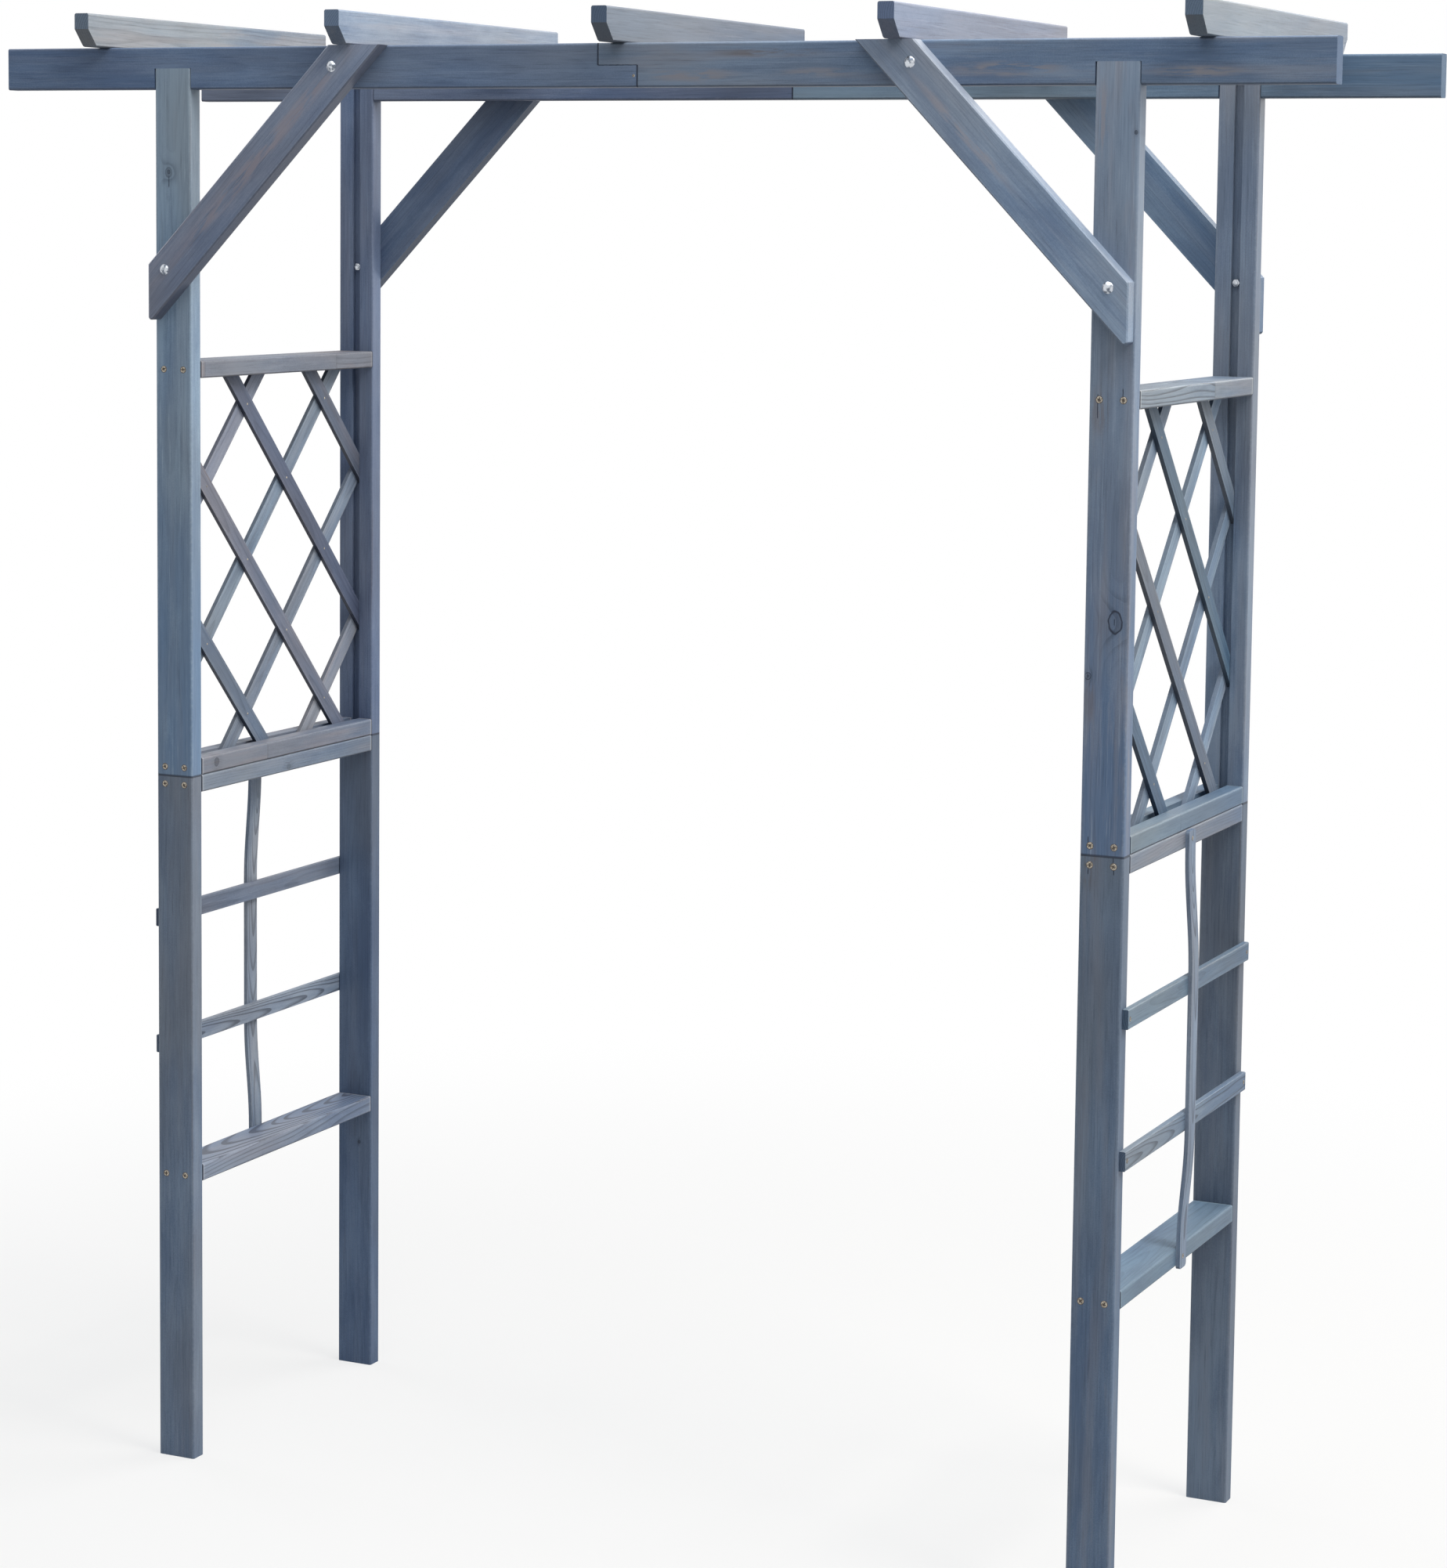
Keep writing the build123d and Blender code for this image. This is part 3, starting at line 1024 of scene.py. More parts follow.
@dataclass(frozen=True)
class CrossHead:
    """A countersunk screw head with a cross recess, pulled in to the face of the wood."""

    radius: float = 0.0043
    collar: float = 0.0053
    proud: float = 0.0006
    arm: float = 0.0027
    slot_width: float = 0.0016

    def mouth(self) -> list[tuple[float, float]]:
        """Draws the recess's outline.

        Returns:
            Its corners in order.
        """
        half = self.slot_width / 2
        quarter = [(self.arm, -half), (self.arm, half), (half, half)]
        corners = []
        for _ in range(4):
            corners.extend(quarter)
            quarter = [(-y, x) for x, y in quarter]
        return corners

    def add_to(self, hardware: Hardware, frame: Matrix) -> None:
        """Adds one head.

        Args:
            hardware: The mesh that takes it. Its finishes are metal, then the painted shade of the
                recess and collar.
            frame: The head's seat.
        """
        mesh = hardware.mesh
        brim = hardware.ring(frame, self.collar, 0.0)
        lip = hardware.ring(frame, self.radius * 1.06, self.proud * 0.35)
        # the collar is partly bruised wood and partly painted shadow of the countersink
        hardware.band(brim, lip, 1)
        rim = hardware.ring(frame, self.radius, self.proud * 0.8)
        hardware.band(lip, rim, 0)
        crown = hardware.ring(frame, self.radius * 0.9, self.proud)
        hardware.band(rim, crown, 0)
        corners = self.mouth()
        mouth = [mesh.verts.new(frame @ Vector((x, y, self.proud))) for x, y in corners]
        for i, corner in enumerate(mouth):
            after = (i + 1) % len(mouth)
            mesh.faces.new((crown[2 * i], crown[2 * i + 1], corner))
            mesh.faces.new((crown[2 * i + 1], crown[2 * after], mouth[after], corner))
        sunk = [Vector((x * 0.8, y * 0.8, self.proud * 0.15)) for x, y in corners]
        floor = [mesh.verts.new(frame @ spot) for spot in sunk]
        # the recess floor and walls carry painted shade
        hardware.band(floor, mouth, 1)
        hardware.cap(floor, 1)


@dataclass(frozen=True)
class PinHead:
    """The small round head of a pin or nail."""

    radius: float = 0.0017
    proud: float = 0.0004

    def add_to(self, hardware: Hardware, frame: Matrix) -> None:
        """Adds one head.

        Args:
            hardware: The mesh that takes it.
            frame: The head's seat.
        """
        foot = hardware.ring(frame, self.radius, 0.0, 12)
        crown = hardware.ring(frame, self.radius * 0.75, self.proud, 12)
        hardware.band(foot, crown, 0)
        hardware.cap(crown, 0)


# ---------------------------------------------------------------- sub-assemblies


def dress(node: str, material: bpy.types.Material) -> None:
    """Gives a construction node its finish in every slot.

    Args:
        node: The node's name.
        material: The finish.
    """
    thing = bpy.data.objects[node]
    thing.data.materials.clear()
    thing.data.materials.append(material)
    for face in thing.data.polygons:
        face.material_index = 0
    LOG.info("dressed %s", node)


def seed_of(name: str) -> int:
    """A steady number for a name, the same in every run."""
    return sum((i + 3) * ord(letter) for i, letter in enumerate(name)) % 9973


@dataclass
class Carpentry:
    """Boards under one glaze, and the finishes of the fasteners in them.

    Attributes:
        glaze: The glaze on the boards.
        brass: The plate on screws, nails and pins.
        recess: The painted shade in their recesses, and the bruised wood and painted shadow round their
            heads.
    """

    glaze: TimberGlaze
    brass: bpy.types.Material
    recess: bpy.types.Material

    def dress_board(self, node: str, board: Board, plain: Figure) -> None:
        """Dresses one board in its own grain, or else in the plain grain of its kind.

        Args:
            node: The node's name.
            board: How it lies.
            plain: The plain grain.
        """
        figure = FIGURES.get(node, plain)
        dress(node, self.glaze.material(node, board, figure, TAKES.get(node, Take())))

    def hardware(self, name: str) -> Hardware:
        """Starts a mesh of like fasteners."""
        return Hardware(name, (self.brass, self.recess))


@dataclass
class SideFrame(Carpentry):
    """One side frame: four posts, four rails, the lattice and the ladder part."""

    side: Side
    half_diamond_y: float = 0.1175
    half_diamond_z: float = 0.124
    lattice_shift: float = 0.0305
    lath_width: float = 0.028
    rail_screw_spacing: float = 0.035
    slat_screw_inset: float = 0.0085
    upright_thickness: float = 0.006

    @property
    def label(self) -> str:
        """The side's name in node names."""
        return self.side.name.lower()

    def outer_face(self, node: str) -> float:
        """The X of the face of a node that looks away from the walkway."""
        low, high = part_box(node)
        return high.x if self.side is Side.RIGHT else low.x

    def dress_posts(self) -> None:
        """Dresses the four posts, whose lower and upper lengths butt on each other."""
        for end in End:
            for part, closed in (("lower", 1), ("upper", -1)):
                node = f"{part}_post_{self.label}_{end.name.lower()}"
                plain = Figure(seed_of(node), tone=0.42, warmth=0.22, closed_ends=(closed,))
                self.dress_board(node, Board.of_node(node, AXIS_Z, AXIS_X), plain)

    def dress_rails(self) -> None:
        """Dresses the four rails, which butt on the posts."""
        for rail in RAILS:
            node = f"{rail}_{self.label}"
            plain = Figure(seed_of(node), tone=0.42, warmth=0.35, lip=0.5, closed_ends=BOTH)
            self.dress_board(node, Board.of_node(node, AXIS_Y, AXIS_X), plain)

    def lath_board(self, slope: Slope, number: int) -> Board:
        """Works out how one lath lies.

        Args:
            slope: Which way it runs.
            number: Its number, from the back.

        Returns:
            The board.
        """
        low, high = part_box(f"{slope.name.lower()}_lath_{self.label}_{number}")
        steps = LATH_COUNT + 1 - 2 * number
        middle_y = self.lattice_shift + steps * self.half_diamond_y
        middle = Vector(((low.x + high.x) / 2, middle_y, self.panel_middle()))
        grain = Vector((0.0, self.half_diamond_y, -slope.value * self.half_diamond_z)).normalized()
        half = (high - low) / 2
        return Board(middle, grain, AXIS_X.cross(grain), ENDLESS, self.lath_width / 2, half.x)

    def panel_middle(self) -> float:
        """Finds the middle of the lattice panel.

        Returns:
            Its height.
        """
        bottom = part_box(f"panel_bottom_rail_{self.label}")[1].z
        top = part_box(f"panel_top_rail_{self.label}")[0].z
        return (bottom + top) / 2

    def dress_lattice(self) -> None:
        """Dresses the eight laths."""
        for slope in Slope:
            tone = 0.2 if slope is Slope.FALLING else 0.5
            for number in range(1, LATH_COUNT + 1):
                node = f"{slope.name.lower()}_lath_{self.label}_{number}"
                seed = seed_of(node)
                warmth = 0.1 + 0.1 * (seed % 4)
                plain = Figure(seed, tone=tone, warmth=warmth, ring=0.0026, contrast=0.3, flank_shade=0.5)
                self.dress_board(node, self.lath_board(slope, number), plain)

    def dress_ladder(self) -> None:
        """Dresses the level slats and the bent upright."""
        for slat in SLATS:
            node = f"{slat}_{self.label}"
            plain = Figure(seed_of(node), tone=0.42, warmth=0.3, ring=0.0032, contrast=0.3, butt=0.3)
            self.dress_board(node, Board.of_node(node, AXIS_Y, AXIS_Z), plain)
        node = f"bent_upright_{self.label}"
        plain = Figure(seed_of(node), tone=0.55, warmth=0.2, contrast=0.8, slope=0.04, depth=0.012)
        self.dress_board(node, Board.of_node(node, AXIS_Z, AXIS_Y), plain)

    def add_rail_screws(self) -> None:
        """Builds the pair of screws at every rail end."""
        hardware = self.hardware(f"rail_screws_{self.label}")
        turns = random.Random(self.side.value + 5)
        for end in End:
            low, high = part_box(f"lower_post_{self.label}_{end.name.lower()}")
            face = low.y if end is End.FRONT else high.y
            for rail in RAILS:
                rail_low, rail_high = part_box(f"{rail}_{self.label}")
                height = (rail_low.z + rail_high.z) / 2
                for step in (-0.5, 0.5):
                    across = (low.x + high.x) / 2 + step * self.rail_screw_spacing
                    place = Vector((across, face, height))
                    turn = turns.uniform(0.0, MOST_TURN)
                    CrossHead().add_to(hardware, seat(place, AXIS_Y * end.value, turn))
        hardware.close()

    def add_ladder_screws(self) -> None:
        """Builds the small screws of the slats and of the upright."""
        hardware = self.hardware(f"ladder_screws_{self.label}")
        head = CrossHead(radius=0.003, collar=0.0038, proud=0.0004, arm=0.0017, slot_width=0.0008)
        places = []
        for slat in SLATS:
            node = f"{slat}_{self.label}"
            low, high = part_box(node)
            for across in (low.y + self.slat_screw_inset, high.y - self.slat_screw_inset):
                places.append(Vector((self.outer_face(node), across, (low.z + high.z) / 2)))
        for rail in ("ladder_top_rail", "low_rail"):
            node = f"{rail}_{self.label}"
            low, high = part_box(node)
            face = self.outer_face(node) + self.side.value * self.upright_thickness
            places.append(Vector((face, 0.0, (low.z + high.z) / 2)))
        turns = random.Random(self.side.value + 9)
        for place in places:
            head.add_to(hardware, seat(place, AXIS_X * self.side.value, turns.uniform(0.0, MOST_TURN)))
        hardware.close()

    def add_lattice_pins(self) -> None:
        """Builds a pin at every full crossing of two laths."""
        hardware = self.hardware(f"lattice_pins_{self.label}")
        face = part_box(f"falling_lath_{self.label}_2")[1].x
        middle = self.panel_middle()
        crossings = [(k, j) for k in (-2, 0, 1, -1) for j in (-2, -1, 0, 1, 2) if (k + j) % 2]
        for k, j in crossings:
            y = self.lattice_shift + k * self.half_diamond_y
            z = middle + j * self.half_diamond_z
            PinHead().add_to(hardware, seat(Vector((face, y, z)), AXIS_X))
        hardware.close()

    def build(self) -> None:
        """Dresses the frame and adds its small fasteners."""
        self.dress_posts()
        self.dress_rails()
        self.dress_lattice()
        self.dress_ladder()
        self.add_rail_screws()
        self.add_ladder_screws()
        self.add_lattice_pins()


@dataclass
class Roof(Carpentry):
    """The two lapped beams, the rafters across them and the four braces."""

    zinc: bpy.types.Material
    brace_width: float = 0.064
    nail_inset: float = 0.006
    nail_height: float = 0.0167
    nail_radius: float = 0.0022

    def dress_beams(self) -> None:
        """Dresses the four beam halves."""
        for end in End:
            for side in Side:
                node = f"beam_{end.name.lower()}_{side.name.lower()}"
                plain = Figure(seed_of(node), tone=0.45)
                self.dress_board(node, Board.of_node(node, AXIS_X, AXIS_Z), plain)

    def dress_rafters(self) -> None:
        """Dresses the rafters."""
        for number in range(1, RAFTER_COUNT + 1):
            node = f"rafter_{number}"
            plain = Figure(seed_of(node), contrast=0.1)
            self.dress_board(node, Board.of_node(node, AXIS_Y, AXIS_Z), plain)

    @staticmethod
    def bolt_place(group: str, side: Side) -> Vector:
        """Finds the axis of a side's bolts from the box of their group.

        Args:
            group: The group's node.
            side: The side.

        Returns:
            The axis's X and Z, with no Y.
        """
        low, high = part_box(group)
        radius = (high.z - low.z) / 2
        return Vector((side.value * (high.x - radius), 0.0, (low.z + high.z) / 2))

    def brace_board(self, node: str, side: Side) -> Board:
        """Works out how one brace lies, from its two bolts and its box.

        Args:
            node: The brace's node.
            side: The brace's side.

        Returns:
            The board.
        """
        low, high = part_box(node)
        post_bolt = self.bolt_place("post_carriage_bolts", side)
        grain = (self.bolt_place("beam_carriage_bolts", side) - post_bolt).normalized()
        outward = Vector((side.value * grain.z, 0.0, abs(grain.x)))
        tip = Vector((side.value * min(abs(low.x), abs(high.x)), (low.y + high.y) / 2, high.z))
        middle = tip + outward * (self.brace_width / 2)
        middle = middle - grain * (middle - post_bolt).dot(grain) / 2
        return Board(middle, grain, outward, ENDLESS, self.brace_width / 2, (high.y - low.y) / 2)

    def dress_braces(self) -> None:
        """Dresses the braces, whose grain runs up aslant."""
        for end in End:
            for side in Side:
                node = f"brace_{end.name.lower()}_{side.name.lower()}"
                plain = Figure(seed_of(node), tone=0.42, warmth=0.2)
                self.dress_board(node, self.brace_board(node, side), plain)

    def add_rafter_screws(self) -> None:
        """Builds the screws that hold the rafters down on the beams."""
        hardware = self.hardware("rafter_screws")
        turns = random.Random(3)
        for number in range(1, RAFTER_COUNT + 1):
            low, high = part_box(f"rafter_{number}")
            for end in End:
                beam_low, beam_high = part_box(f"beam_{end.name.lower()}_left")
                place = Vector(((low.x + high.x) / 2, (beam_low.y + beam_high.y) / 2, high.z))
                CrossHead().add_to(hardware, seat(place, AXIS_Z, turns.uniform(0.0, MOST_TURN)))
        hardware.close()

    def add_lap_nails(self) -> None:
        """Builds the nail beside each beam's lap, on its outer face."""
        hardware = self.hardware("lap_nails")
        for end in End:
            low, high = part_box(f"beam_{end.name.lower()}_left")
            face = low.y if end is End.FRONT else high.y
            place = Vector((high.x - self.nail_inset, face, low.z + self.nail_height))
            PinHead(self.nail_radius).add_to(hardware, seat(place, AXIS_Y * end.value))
        hardware.close()

    def build(self) -> None:
        """Dresses the roof and the bolts, and adds the small fasteners."""
        self.dress_beams()
        self.dress_rafters()
        self.dress_braces()
        self.add_rafter_screws()
        self.add_lap_nails()
        for node in ("post_carriage_bolts", "beam_carriage_bolts", "bolt_nuts"):
            dress(node, self.zinc)


# ---------------------------------------------------------------- studio


@dataclass(frozen=True)
class Lamp:
    """One soft square lamp that looks at the arch, with its power in watts."""

    name: str
    place: tuple[float, float, float]
    power: float
    colour: tuple[float, float, float]
    size: float = 3.0


@dataclass
class Studio:
    """The camera, the floor, the lamps and the white surround.

    Attributes:
        place: Where the camera stands.
        yaw: How far it is turned to the left, in radians, as pitch and roll are.
        lens: Its focal length in millimetres, for the sensor's width in millimetres.
        rise: How far its view is shifted up, as a share of the frame's longer side.
        aim: The height that the lamps look at.
        floor_white: How much of the floor under the arch is plain white to the eye.
    """

    place: Vector = field(default_factory=lambda: Vector((2.45844, -5.15262, 1.96471)))
    yaw: float = 0.4383
    pitch: float = -0.0968
    roll: float = 0.0112
    lens: float = 86.047
    sensor: float = 36.0
    rise: float = -0.1304
    aim: float = 1.3
    sky: Colour = (0.80, 0.91, 1.0, 1.0)
    sky_strength: float = 0.27
    floor_reach: float = 30.0
    floor_white: float = 0.72
    lamps: Sequence[Lamp] = (
        Lamp("key", (5.27, -0.93, 7.15), 420.0, (1.0, 0.94, 0.86)),
        Lamp("rim", (2.0, 3.0, 3.5), 92.0, (1.0, 0.96, 0.90)),
        Lamp("overhead", (0.5, -0.5, 4.0), 68.0, (0.97, 0.99, 1.0)),
        Lamp("far_side", (-6.5, 1.8, 3.2), 90.0, (0.97, 0.98, 1.0)),
    )

    def add_camera(self) -> None:
        """Stands the camera at the visitor's right, looking at the front."""
        level = Vector((-math.sin(self.yaw), math.cos(self.yaw), 0.0))
        ahead = level * math.cos(self.pitch) + AXIS_Z * math.sin(self.pitch)
        right = Vector((math.cos(self.yaw), math.sin(self.yaw), 0.0))
        up = right.cross(ahead)
        turned = right * math.cos(self.roll) + up * math.sin(self.roll)
        raised = up * math.cos(self.roll) - right * math.sin(self.roll)
        data = bpy.data.cameras.new("camera")
        data.lens = self.lens
        data.sensor_width = self.sensor
        data.shift_y = self.rise
        camera = bpy.data.objects.new("camera", data)
        axes = Matrix((turned, raised, -ahead)).transposed()
        camera.matrix_world = Matrix.Translation(self.place) @ axes.to_4x4()
        bpy.context.scene.collection.objects.link(camera)
        bpy.context.scene.camera = camera

    def add_lamp(self, lamp: Lamp) -> None:
        """Hangs one lamp.

        Args:
            lamp: The lamp.
        """
        data = bpy.data.lights.new(lamp.name, "AREA")
        data.size = lamp.size
        data.energy = lamp.power
        data.color = lamp.colour
        made = bpy.data.objects.new(lamp.name, data)
        place = Vector(lamp.place)
        look = (Vector((0.0, 0.0, self.aim)) - place).to_track_quat("-Z", "Y")
        made.matrix_world = Matrix.Translation(place) @ look.to_matrix().to_4x4()
        bpy.context.scene.collection.objects.link(made)

    def add_surround(self) -> None:
        """White to the eye and in reflections, and a soft sky as light."""
        world = bpy.data.worlds.new("surround")
        bpy.context.scene.world = world
        recipe = Recipe(world)
        light = {"Color": self.sky, "Strength": self.sky_strength}
        sky = recipe.node("ShaderNodeBackground", None, light)
        white = recipe.node("ShaderNodeBackground", None, {"Color": WHITE, "Strength": 1.0})
        sockets = {0: self.seen(recipe), 1: sky.outputs[0], 2: white.outputs[0]}
        choose = recipe.node("ShaderNodeMixShader", None, sockets)
        recipe.node("ShaderNodeOutputWorld", None, {0: choose.outputs[0]})

    @staticmethod
    def seen(recipe: Recipe) -> Signal:
        """Tells what the eye sees, itself or in gloss and glass, from what only casts light.

        Args:
            recipe: The node tree that asks.

        Returns:
            One for the eye's own rays and for those that gloss and glass send on.
        """
        rays = recipe.node("ShaderNodeLightPath")
        names = ("Is Camera Ray", "Is Glossy Ray", "Is Transmission Ray")
        eye, gloss, glass = (Signal(recipe, rays.outputs[name]) for name in names)
        return eye.most(gloss).most(glass)

    def add_floor(self) -> None:
        """Lays a pale floor that keeps the arch's soft shadow and fades to white."""
        recipe = Recipe(bpy.data.materials.new("floor"))
        point = recipe.point()
        reach = recipe.length(recipe.along(point, AXIS_X), recipe.along(point, AXIS_Y))
        share = self.seen(recipe) * (self.floor_white + reach.ramp(1.0, 3.2) * (1.0 - self.floor_white))
        plain = recipe.node("ShaderNodeBsdfDiffuse", None, {"Color": (0.7, 0.7, 0.7, 1.0)})
        white = recipe.node("ShaderNodeEmission", None, {"Color": WHITE, "Strength": 1.0})
        sockets = {0: share, 1: plain.outputs[0], 2: white.outputs[0]}
        choose = recipe.node("ShaderNodeMixShader", None, sockets)
        recipe.node("ShaderNodeOutputMaterial", None, {0: choose.outputs[0]})
        data = bpy.data.meshes.new("floor")
        half = self.floor_reach
        corners = [(-half, -half, 0.0), (half, -half, 0.0), (half, half, 0.0), (-half, half, 0.0)]
        data.from_pydata(corners, [], [(0, 1, 2, 3)])
        data.materials.append(recipe.owner)
        floor = bpy.data.objects.new("floor", data)
        bpy.context.scene.collection.objects.link(floor)

    def build(self) -> None:
        """Sets up the whole studio."""
        self.add_camera()
        self.add_surround()
        self.add_floor()
        for lamp in self.lamps:
            self.add_lamp(lamp)
        bpy.context.scene.view_settings.view_transform = "Standard"


# how each board took the glaze, with the painted light that grows or fades along it, by node name
TAKES = {
    "beam_back_left": Take(0.80, 0.80, 0.90, -2.5, -0.1),
    "beam_back_right": Take(0.80, 0.95, 1.00, -2.1, -0.1),
    "beam_front_left": Take(0.80, 0.90, 1.05, 0.5, 0.4),
    "beam_front_right": Take(0.85, 0.95, 1.05, -0.7, -0.4),
    "bent_upright_left": Take(1.30, 1.25, 1.20),
    "bent_upright_right": Take(1.15, 1.20, 1.25),
    "brace_back_left": Take(0.60, 0.65, 0.75, -0.2, 0.7),
    "brace_back_right": Take(0.90, 1.05, 1.15, 2.7, 0.9),
    "brace_front_left": Take(1.25, 1.20, 1.25, 1.3, -0.7),
    "brace_front_right": Take(1.35, 1.40, 1.45, -1.3, 0.6),
    "falling_lath_left_1": Take(0.60, 0.60, 0.65),
    "falling_lath_left_2": Take(0.50, 0.50, 0.60, -2.2, -0.1),
    "falling_lath_left_3": Take(1.00, 0.90, 0.90, -1.4, -0.1),
    "falling_lath_left_4": Take(0.80, 0.85, 0.90),
    "falling_lath_right_1": Take(0.90, 0.95, 0.95),
    "falling_lath_right_2": Take(0.50, 0.70, 0.80, 4.0, -0.3),
    "falling_lath_right_3": Take(0.85, 0.85, 0.85, 0.0, -0.4),
    "falling_lath_right_4": Take(0.50, 0.70, 0.85),
    "ladder_top_rail_left": Take(1.00, 1.00, 1.00, -3.0, -0.3),
    "ladder_top_rail_right": Take(1.00, 1.05, 1.10, -4.0, -0.5),
    "low_rail_left": Take(1.15, 1.15, 1.20, -1.6, 0.2),
    "low_rail_right": Take(0.75, 0.95, 1.05, -0.6, 0.5),
    "lower_post_left_back": Take(0.55, 0.65, 0.80, 0.3, 0.4),
    "lower_post_left_front": Take(0.90, 0.95, 1.00, -0.2, 0.3),
    "lower_post_right_back": Take(0.70, 0.75, 0.80, -0.7, 0.4),
    "lower_post_right_front": Take(0.75, 0.85, 0.95, 0.5, 0.5),
    "lower_slat_left": Take(1.25, 1.25, 1.25, 0.5, -0.8),
    "lower_slat_right": Take(0.95, 1.05, 1.10, -4.0, -1.0),
    "panel_bottom_rail_left": Take(0.95, 0.90, 0.90, -1.4, -0.6),
    "panel_bottom_rail_right": Take(0.85, 1.00, 1.05, -3.3, -1.0),
    "panel_top_rail_left": Take(0.95, 0.85, 0.80, -1.5, 0.9),
    "panel_top_rail_right": Take(1.10, 1.10, 1.05, -4.0, -0.9),
    "rafter_1": Take(1.20, 1.15, 1.05, -2.4, -0.5),
    "rafter_2": Take(1.20, 1.20, 1.20, 0.1, 0.4),
    "rafter_3": Take(0.65, 0.70, 0.75, -3.8, -0.9),
    "rafter_4": Take(0.90, 0.90, 1.00, -1.5, 0.8),
    "rafter_5": Take(0.85, 0.90, 0.90, -4.0, -0.2),
    "rising_lath_left_1": Take(1.50, 1.35, 1.25),
    "rising_lath_left_2": Take(1.10, 1.10, 1.10),
    "rising_lath_left_3": Take(1.10, 1.15, 1.15, -1.6, -0.1),
    "rising_lath_left_4": Take(1.25, 1.15, 1.15),
    "rising_lath_right_1": Take(1.35, 1.50, 1.60),
    "rising_lath_right_2": Take(1.05, 1.20, 1.30),
    "rising_lath_right_3": Take(1.20, 1.35, 1.40),
    "rising_lath_right_4": Take(1.15, 1.20, 1.20),
    "upper_post_left_back": Take(0.75, 0.80, 0.95),
    "upper_post_left_front": Take(1.30, 1.45, 1.50, 1.9, 0.4),
    "upper_post_right_back": Take(1.05, 1.10, 1.15, -0.4, 0.6),
    "upper_post_right_front": Take(1.10, 1.20, 1.30, 2.0, 0.6),
    "upper_slat_left": Take(0.85, 0.85, 0.90, 1.6, -0.6),
    "upper_slat_right": Take(0.80, 0.95, 1.00, -3.8, -0.6),
}

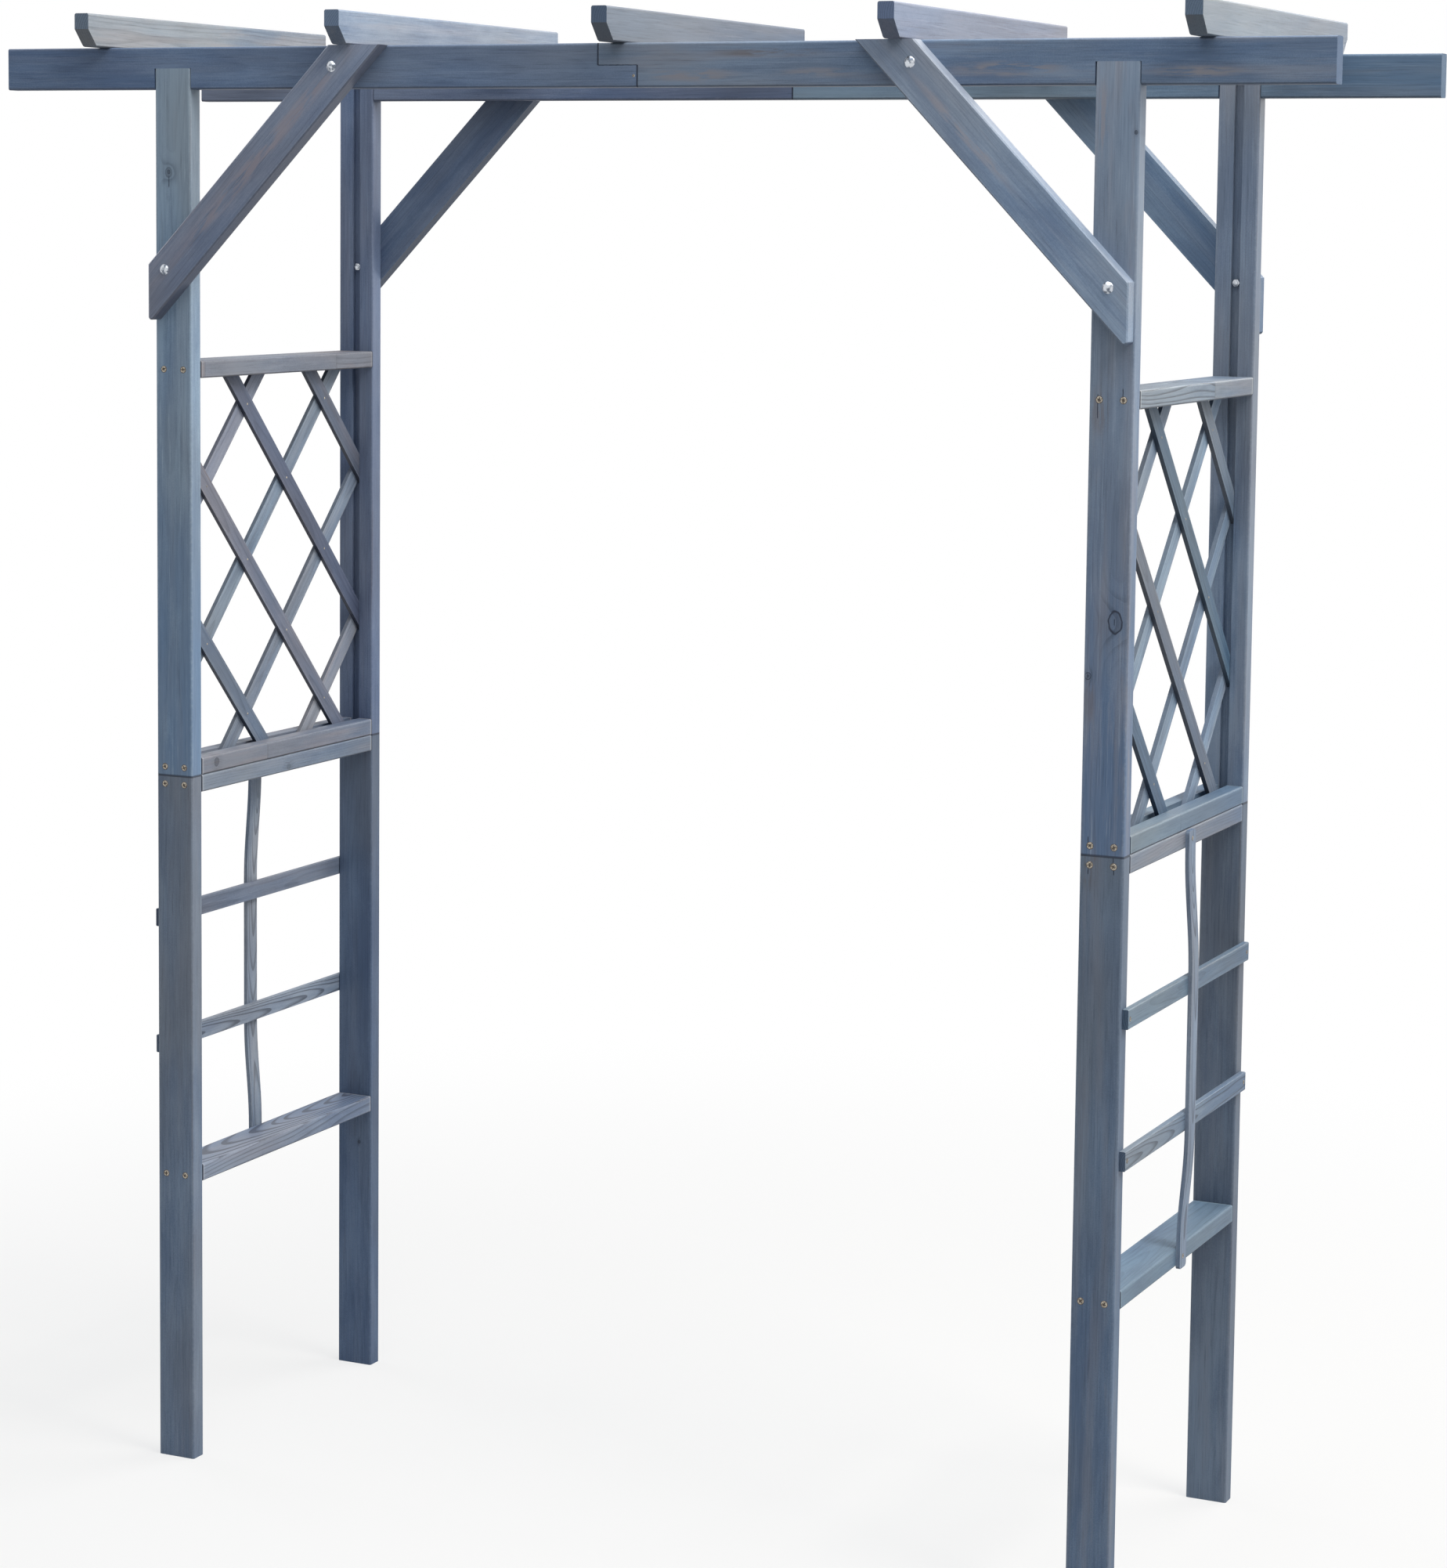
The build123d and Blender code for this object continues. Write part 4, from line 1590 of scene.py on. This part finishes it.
# the grain and marks of the boards that have their own, by node name
FIGURES = {
    "upper_post_left_front": Figure(
        11, tone=0.45, warmth=0.15, pale=0.35,
        knots=(
            Knot(0.388, -0.0078, 0.0066, long=1.4, rim=0.2, fill=0.5),
            Knot(0.3885, -0.0074, 0.0028, long=1.4, rim=0.9, fill=0.95),
        ),
        checks=(Check(0.374, -0.0072, 0.02),),
        closed_ends=(-1,),
    ),
    "upper_post_right_front": Figure(
        23, tone=0.4, warmth=0.6, pale=0.5,
        knots=(
            Knot(-0.2192, 0.0125, 0.0112, long=1.55, rim=1.0, fill=0.16),
            Knot(-0.2957, -0.0257, 0.0052, long=1.1, rim=0.8, fill=0.4),
            Knot(-0.2957, -0.0257, 0.0016, long=1.1, rim=0.9, fill=0.9),
            Knot(0.4496, 0.0275, 0.0026, long=1.2, rim=0.9, fill=0.9),
        ),
        checks=(
            Check(0.077, -0.0196, 0.036),
            Check(0.094, 0.0166, 0.018),
            Check(-0.2192, 0.0112, 0.012),
            Check(-0.524, -0.0205, 0.012),
        ),
        stains=(
            Stain(0.07, -0.018, 0.02, strength=0.35),
            Stain(-0.33, -0.024, 0.014, strength=0.35, long=3.0),
            Stain(0.47, -0.02, 0.012, strength=0.7, long=6.0, brown=False),
        ),
        closed_ends=(-1,),
    ),
    "lower_post_right_front": Figure(
        29, tone=0.4, warmth=0.5,
        checks=(Check(0.539, 0.0168, 0.011), Check(0.5225, 0.0178, 0.01), Check(0.521, -0.0195, 0.01)),
        stains=(Stain(0.53, -0.02, 0.02, strength=0.5),),
        closed_ends=(1,),
    ),
    "lower_post_left_back": Figure(
        33, tone=0.4, warmth=0.2,
        knots=(Knot(-0.157, 0.0088, 0.0028, long=1.2, rim=0.9, fill=0.9),),
        closed_ends=(1,),
    ),
    "panel_top_rail_left": Figure(
        31, tone=0.42, warmth=0.7, lip=0.3,
        joints=(
            FingerJoint(-0.2497, tone=0.1, warmth=-0.45),
            FingerJoint(0.1425, tone=-0.1, warmth=0.4, contrast=0.9),
        ),
        closed_ends=BOTH,
    ),
    "panel_bottom_rail_left": Figure(
        37, tone=0.45, warmth=0.7, lip=0.6,
        joints=(FingerJoint(-0.0692, tone=0.1, warmth=-0.1, contrast=0.1),),
        knots=(Knot(-0.2173, -0.0018, 0.0074, long=1.0, rim=0.3, fill=0.7, narrow=True),),
        closed_ends=BOTH,
    ),
    "ladder_top_rail_left": Figure(
        39, warmth=0.4, contrast=0.5, lip=0.5,
        knots=(Knot(-0.0044, 0.0059, 0.005, long=1.4, rim=0.1, fill=0.4, narrow=True),),
        closed_ends=BOTH,
    ),
    "panel_top_rail_right": Figure(
        41, tone=0.6, warmth=0.2, ring=0.0038, contrast=2.4, slope=0.03, depth=0.006, lip=0.6,
        joints=(FingerJoint(0.074, warmth=0.15, contrast=-2.2),),
        closed_ends=BOTH,
    ),
    "panel_bottom_rail_right": Figure(
        43, warmth=0.6, lip=0.5,
        joints=(FingerJoint(-0.04, tone=-0.05, warmth=-0.5),),
        closed_ends=BOTH,
    ),
    "ladder_top_rail_right": Figure(
        45, warmth=0.5, contrast=0.7, slope=0.03, lip=0.3, closed_ends=BOTH,
    ),
    "low_rail_left": Figure(
        47, ring=0.0044, contrast=1.6, slope=0.065, depth=0.012, lip=0.4, closed_ends=BOTH,
    ),
    "low_rail_right": Figure(
        53, tone=0.55, warmth=0.15, ring=0.004, contrast=0.25, slope=0.03, lip=0.5, closed_ends=BOTH,
    ),
    "beam_front_right": Figure(
        59, tone=0.45, warmth=0.55,
        checks=(Check(-0.5165, 0.0, 0.066),),
        stains=(
            Stain(-0.398, -0.015, 0.013, strength=0.95, long=7.0, brown=False),
            Stain(-0.2, -0.012, 0.009, strength=0.7, long=9.0, brown=False),
            Stain(0.084, -0.009, 0.014, strength=0.95, long=8.0, brown=False),
            Stain(0.358, -0.014, 0.01, strength=1.0, long=9.0, brown=False),
            Stain(-0.28, 0.016, 0.008, strength=0.55, long=14.0),
        ),
        closed_ends=(-1,),
    ),
    "beam_front_left": Figure(
        61, tone=0.45, warmth=0.2, slope=0.012,
        checks=(Check(0.5165, 0.0, 0.066),),
        closed_ends=(1,),
    ),
    "beam_back_right": Figure(63, closed_ends=(-1,)),
    "beam_back_left": Figure(65, tone=0.45, warmth=0.2, closed_ends=(1,)),
    "brace_front_left": Figure(
        67, tone=0.4, warmth=0.25,
        stains=(Stain(0.0, 0.002, 0.016, long=20.0, brown=False),),
    ),
    "brace_front_right": Figure(
        71, tone=0.45,
        stains=(Stain(0.05, -0.004, 0.01, long=14.0, brown=False),),
    ),
    "lower_slat_left": Figure(
        79, tone=0.42, warmth=0.1, ring=0.0026, contrast=1.2, slope=0.03, depth=0.02, butt=0.3,
    ),
    "lower_slat_right": Figure(
        83, tone=0.42, warmth=0.2, ring=0.0028, contrast=0.9, slope=0.03, depth=0.02, butt=0.3,
    ),
    "rafter_1": Figure(73, warmth=0.5, ring=0.004, contrast=0.3, slope=0.004),
}


def main() -> None:
    """Loads the arch, dresses it, adds its small fasteners and sets up the studio."""
    logging.basicConfig(level=logging.INFO, format="%(name)s: %(message)s")
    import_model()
    glaze = TimberGlaze()
    zinc = ZincPlate().material("zinc")
    yellow = ZincPlate(paint(172, 165, 152), paint(110, 105, 98), cloud_size=0.003, roughness=0.3)
    brass = yellow.material("yellow_zinc")
    recess = SunkRecess().material("recess")
    for side in Side:
        SideFrame(glaze, brass, recess, side).build()
    Roof(glaze, brass, recess, zinc).build()
    Studio().build()


if __name__ == "__main__":
    main()
